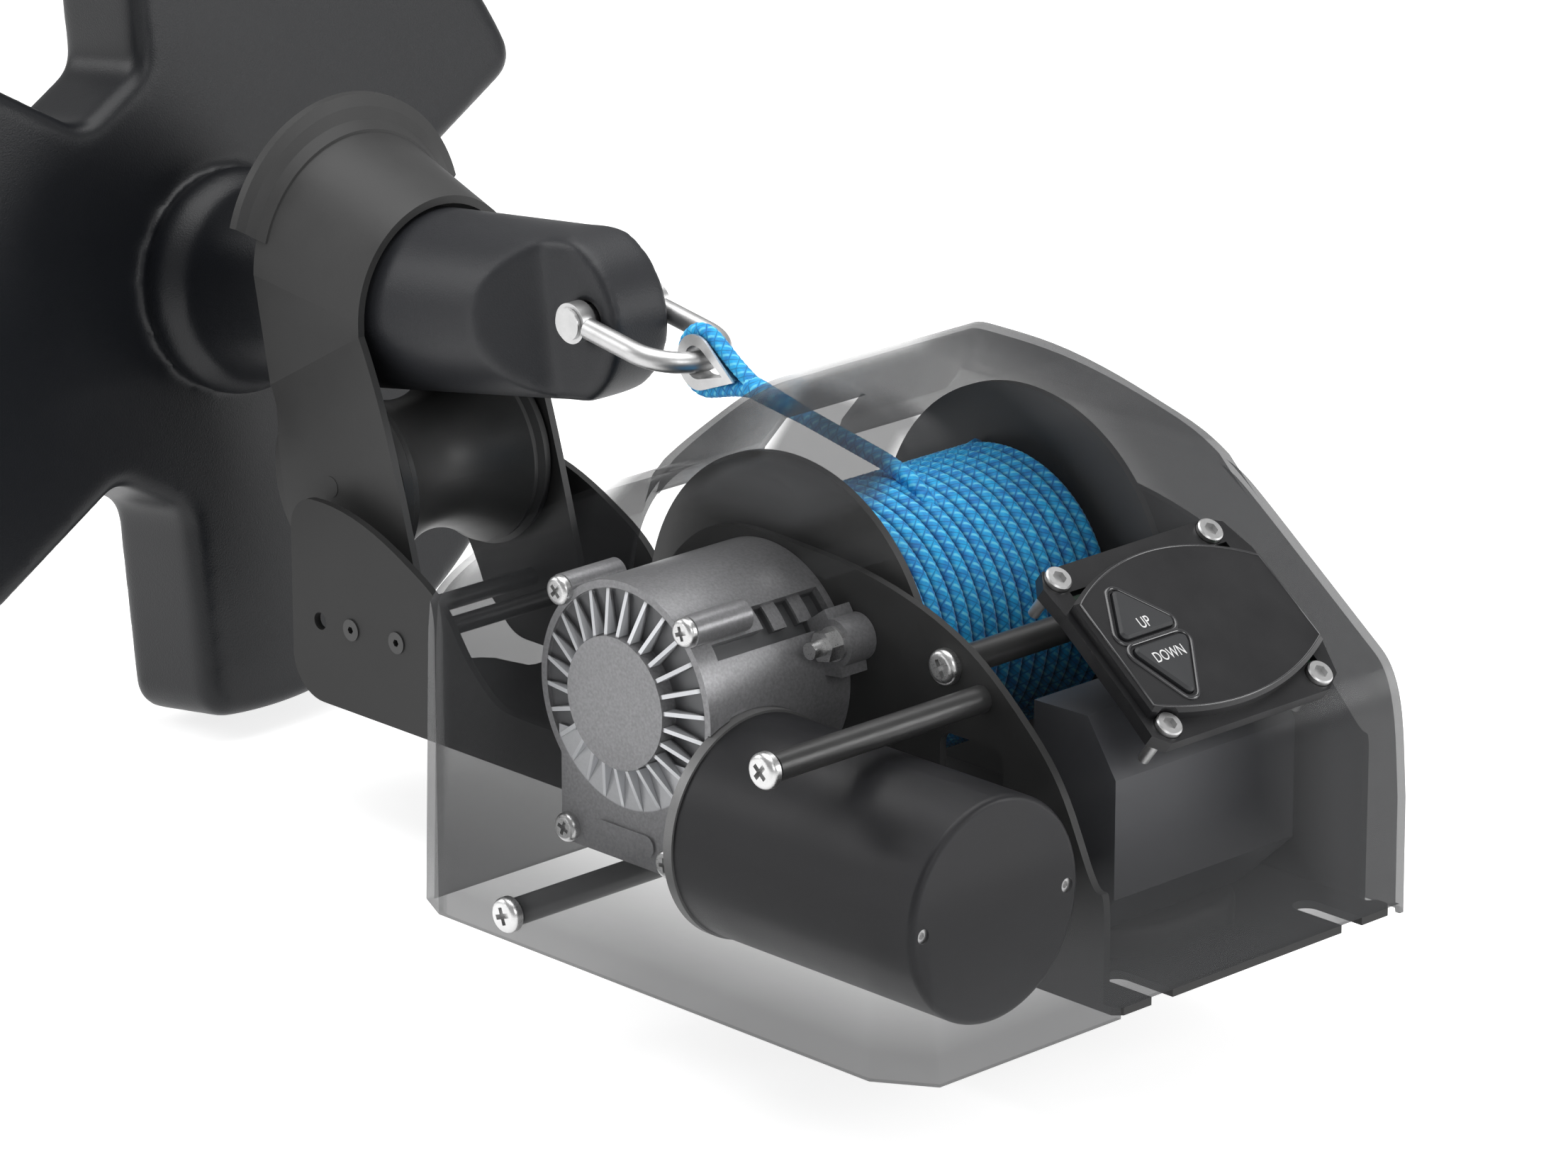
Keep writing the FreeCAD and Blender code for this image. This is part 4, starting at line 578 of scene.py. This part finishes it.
PANEL_TOP = 5.0                                     # height of the raised panel, mm
KEY_CORNERS = {                                     # mm down the face's slope, and across it
    "up": ((-20.5, -25.0), (-0.2, -7.6), (-0.2, -36.8)),
    "down": ((3.8, -36.0), (3.8, -8.0), (28.0, -24.0)),
}
KEY_INRADIUS, KEY_CORNER = 7.2, 2.2                 # of a key's triangle, and its corner radius, mm
KEY_FRAME_OUT, KEY_FRAME_R = 1.7, 0.85              # frame's line outside the key, and its radius, mm
PANEL_ARCS = (((-20, -42), (-31.5, -2), (-17, 47)), ((22, 47), (34.5, 4), (27, -43)))
PANEL_INSET, PANEL_BEAD_R = 1.4, 0.45               # the edge bead inside the panel's outline, mm


def rounded_corners(corners, radius, steps):
    """A polygon's outline with each corner turned in an arc."""
    outline = []
    count = len(corners)
    for k in range(count):
        before, here, after = (Vector(corners[j % count]) for j in (k - 1, k, k + 1))
        to_before, to_after = (before - here).normalized(), (after - here).normalized()
        half = to_before.angle(to_after) / 2
        centre = here + (to_before + to_after).normalized() * (radius / math.sin(half))
        start = here + to_before * (radius / math.tan(half)) - centre
        end = here + to_after * (radius / math.tan(half)) - centre
        turn = start.angle_signed(end)
        for step in range(steps + 1):
            outline.append(centre + start.copy() @ Matrix.Rotation(turn * step / steps, 2))
    return outline


def face_bead(name, route, radius, height):
    """A round bead moulded on the pod's face along a closed route, half sunk into it."""
    sides = 12
    points = [Vector((*point, height)) for point in route]
    count = len(points)
    rings, faces = [], []
    for k, point in enumerate(points):
        along = (points[(k + 1) % count] - points[k - 1]).normalized()
        out = along.cross(Vector((0, 0, 1)))
        for j in range(sides):
            angle = 2 * math.pi * j / sides
            rings.append(point + radius * (out * math.cos(angle) + Vector((0, 0, math.sin(angle)))))
            here, ahead, beside = k * sides, (k + 1) % count * sides, (j + 1) % sides
            faces.append((here + j, here + beside, ahead + beside, ahead + j))
    mesh = bpy.data.meshes.new(name)
    place = pod_matrix(0, 0, 0)
    mesh.from_pydata([tuple(place @ (Vector((v.y, -v.x, v.z)) * MM)) for v in rings], [], faces)
    mesh.polygons.foreach_set("use_smooth", [True] * len(mesh.polygons))
    mesh.materials.append(BEAD)
    mesh.update()
    bead = link(bpy.data.objects.new(name, mesh))
    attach(bead, "frame")


def arc_through(start, middle, end, steps):
    """Points of the arc through three places on the face."""
    (ax, ay), (bx, by), (cx, cy) = start, middle, end
    twice = 2 * (ax * (by - cy) + bx * (cy - ay) + cx * (ay - by))
    sa, sb, sc = ax * ax + ay * ay, bx * bx + by * by, cx * cx + cy * cy
    centre = Vector(((sa * (by - cy) + sb * (cy - ay) + sc * (ay - by)) / twice,
                     (sa * (cx - bx) + sb * (ax - cx) + sc * (bx - ax)) / twice))
    first, last = Vector(start) - centre, Vector(end) - centre
    turn = first.angle_signed(last)
    return [centre + first.copy() @ Matrix.Rotation(turn * k / steps, 2) for k in range(steps + 1)]


def pod_trim():
    """Raised frame round each key, and the moulded edge of the panel."""
    for kind, corners in KEY_CORNERS.items():
        centre = sum((Vector(c) for c in corners), Vector((0, 0))) / 3
        grow = 1 + KEY_FRAME_OUT / KEY_INRADIUS
        outline = rounded_corners([centre + (Vector(c) - centre) * grow for c in corners],
                                  KEY_CORNER + KEY_FRAME_OUT, 8)
        face_bead("key_frame_" + kind, outline, KEY_FRAME_R, PANEL_TOP)
    edge = [point for arc in PANEL_ARCS for point in arc_through(*arc, 40)]
    inner = [Vector((p.x - math.copysign(PANEL_INSET, p.x), p.y * 0.97)) for p in edge]
    face_bead("panel_edge", inner, PANEL_BEAD_R, PANEL_TOP - 0.1)


key_label("UP", 6.4 * MM, -3.8 * MM, -23.1 * MM, "up_key")
key_label("DOWN", 6.2 * MM, 10.4 * MM, -22.6 * MM, "down_key")
pod_trim()


# ---------------------------------------------------------------- studio
def studio():
    low = CAD_BOX[0].z - 4 * MM
    mesh = bpy.data.meshes.new("floor")
    mesh.from_pydata([(-6, -6, low), (6, -6, low), (6, 6, low), (-6, 6, low)], [], [(0, 1, 2, 3)])
    mesh.materials.append(FLOOR)
    link(bpy.data.objects.new("floor", mesh))
    lights = (                                      # name, place, aimed at, size, watts
        ("overhead", (-0.20, 0.10, 1.5), (-0.10, 0.0, 0.10), 1.6, 24.0),
        ("key_left", (-1.4, -0.9, 0.8), (-0.15, 0.0, 0.10), 0.8, 7.0),
        ("low_left", (-0.9, -1.5, 0.25), (-0.36, 0.0, 0.16), 0.4, 1.4),
        ("fill_right", (1.5, -0.5, 0.9), (0.0, 0.0, 0.10), 0.7, 6.5),
        ("aft_far", (1.2, 1.0, 0.5), (-0.05, -0.1, 0.08), 0.6, 8.0),
    )
    for name, place, target, size, power in lights:
        lamp = bpy.data.lights.new(name, "AREA")
        lamp.size = size
        lamp.energy = power
        holder = link(bpy.data.objects.new(name, lamp))
        holder.location = place
        holder.rotation_euler = (Vector(target) - Vector(place)).to_track_quat("-Z", "Y").to_euler()
    world = bpy.data.worlds.new("studio")
    world.use_nodes = True
    tree = world.node_tree
    ambient = tree.nodes["Background"]
    ambient.inputs["Color"].default_value = (1.0, 1.0, 1.0, 1.0)
    ambient.inputs["Strength"].default_value = 0.42
    backdrop = tree.nodes.new("ShaderNodeBackground")
    backdrop.inputs["Color"].default_value = (1.0, 1.0, 1.0, 1.0)
    split = tree.nodes.new("ShaderNodeMixShader")
    tree.links.new(tree.nodes.new("ShaderNodeLightPath").outputs["Is Camera Ray"], split.inputs["Fac"])
    tree.links.new(ambient.outputs[0], split.inputs[1])
    tree.links.new(backdrop.outputs[0], split.inputs[2])
    tree.links.new(split.outputs[0], tree.nodes["World Output"].inputs["Surface"])
    bpy.context.scene.world = world
    bpy.context.scene.view_settings.view_transform = "Standard"


studio()
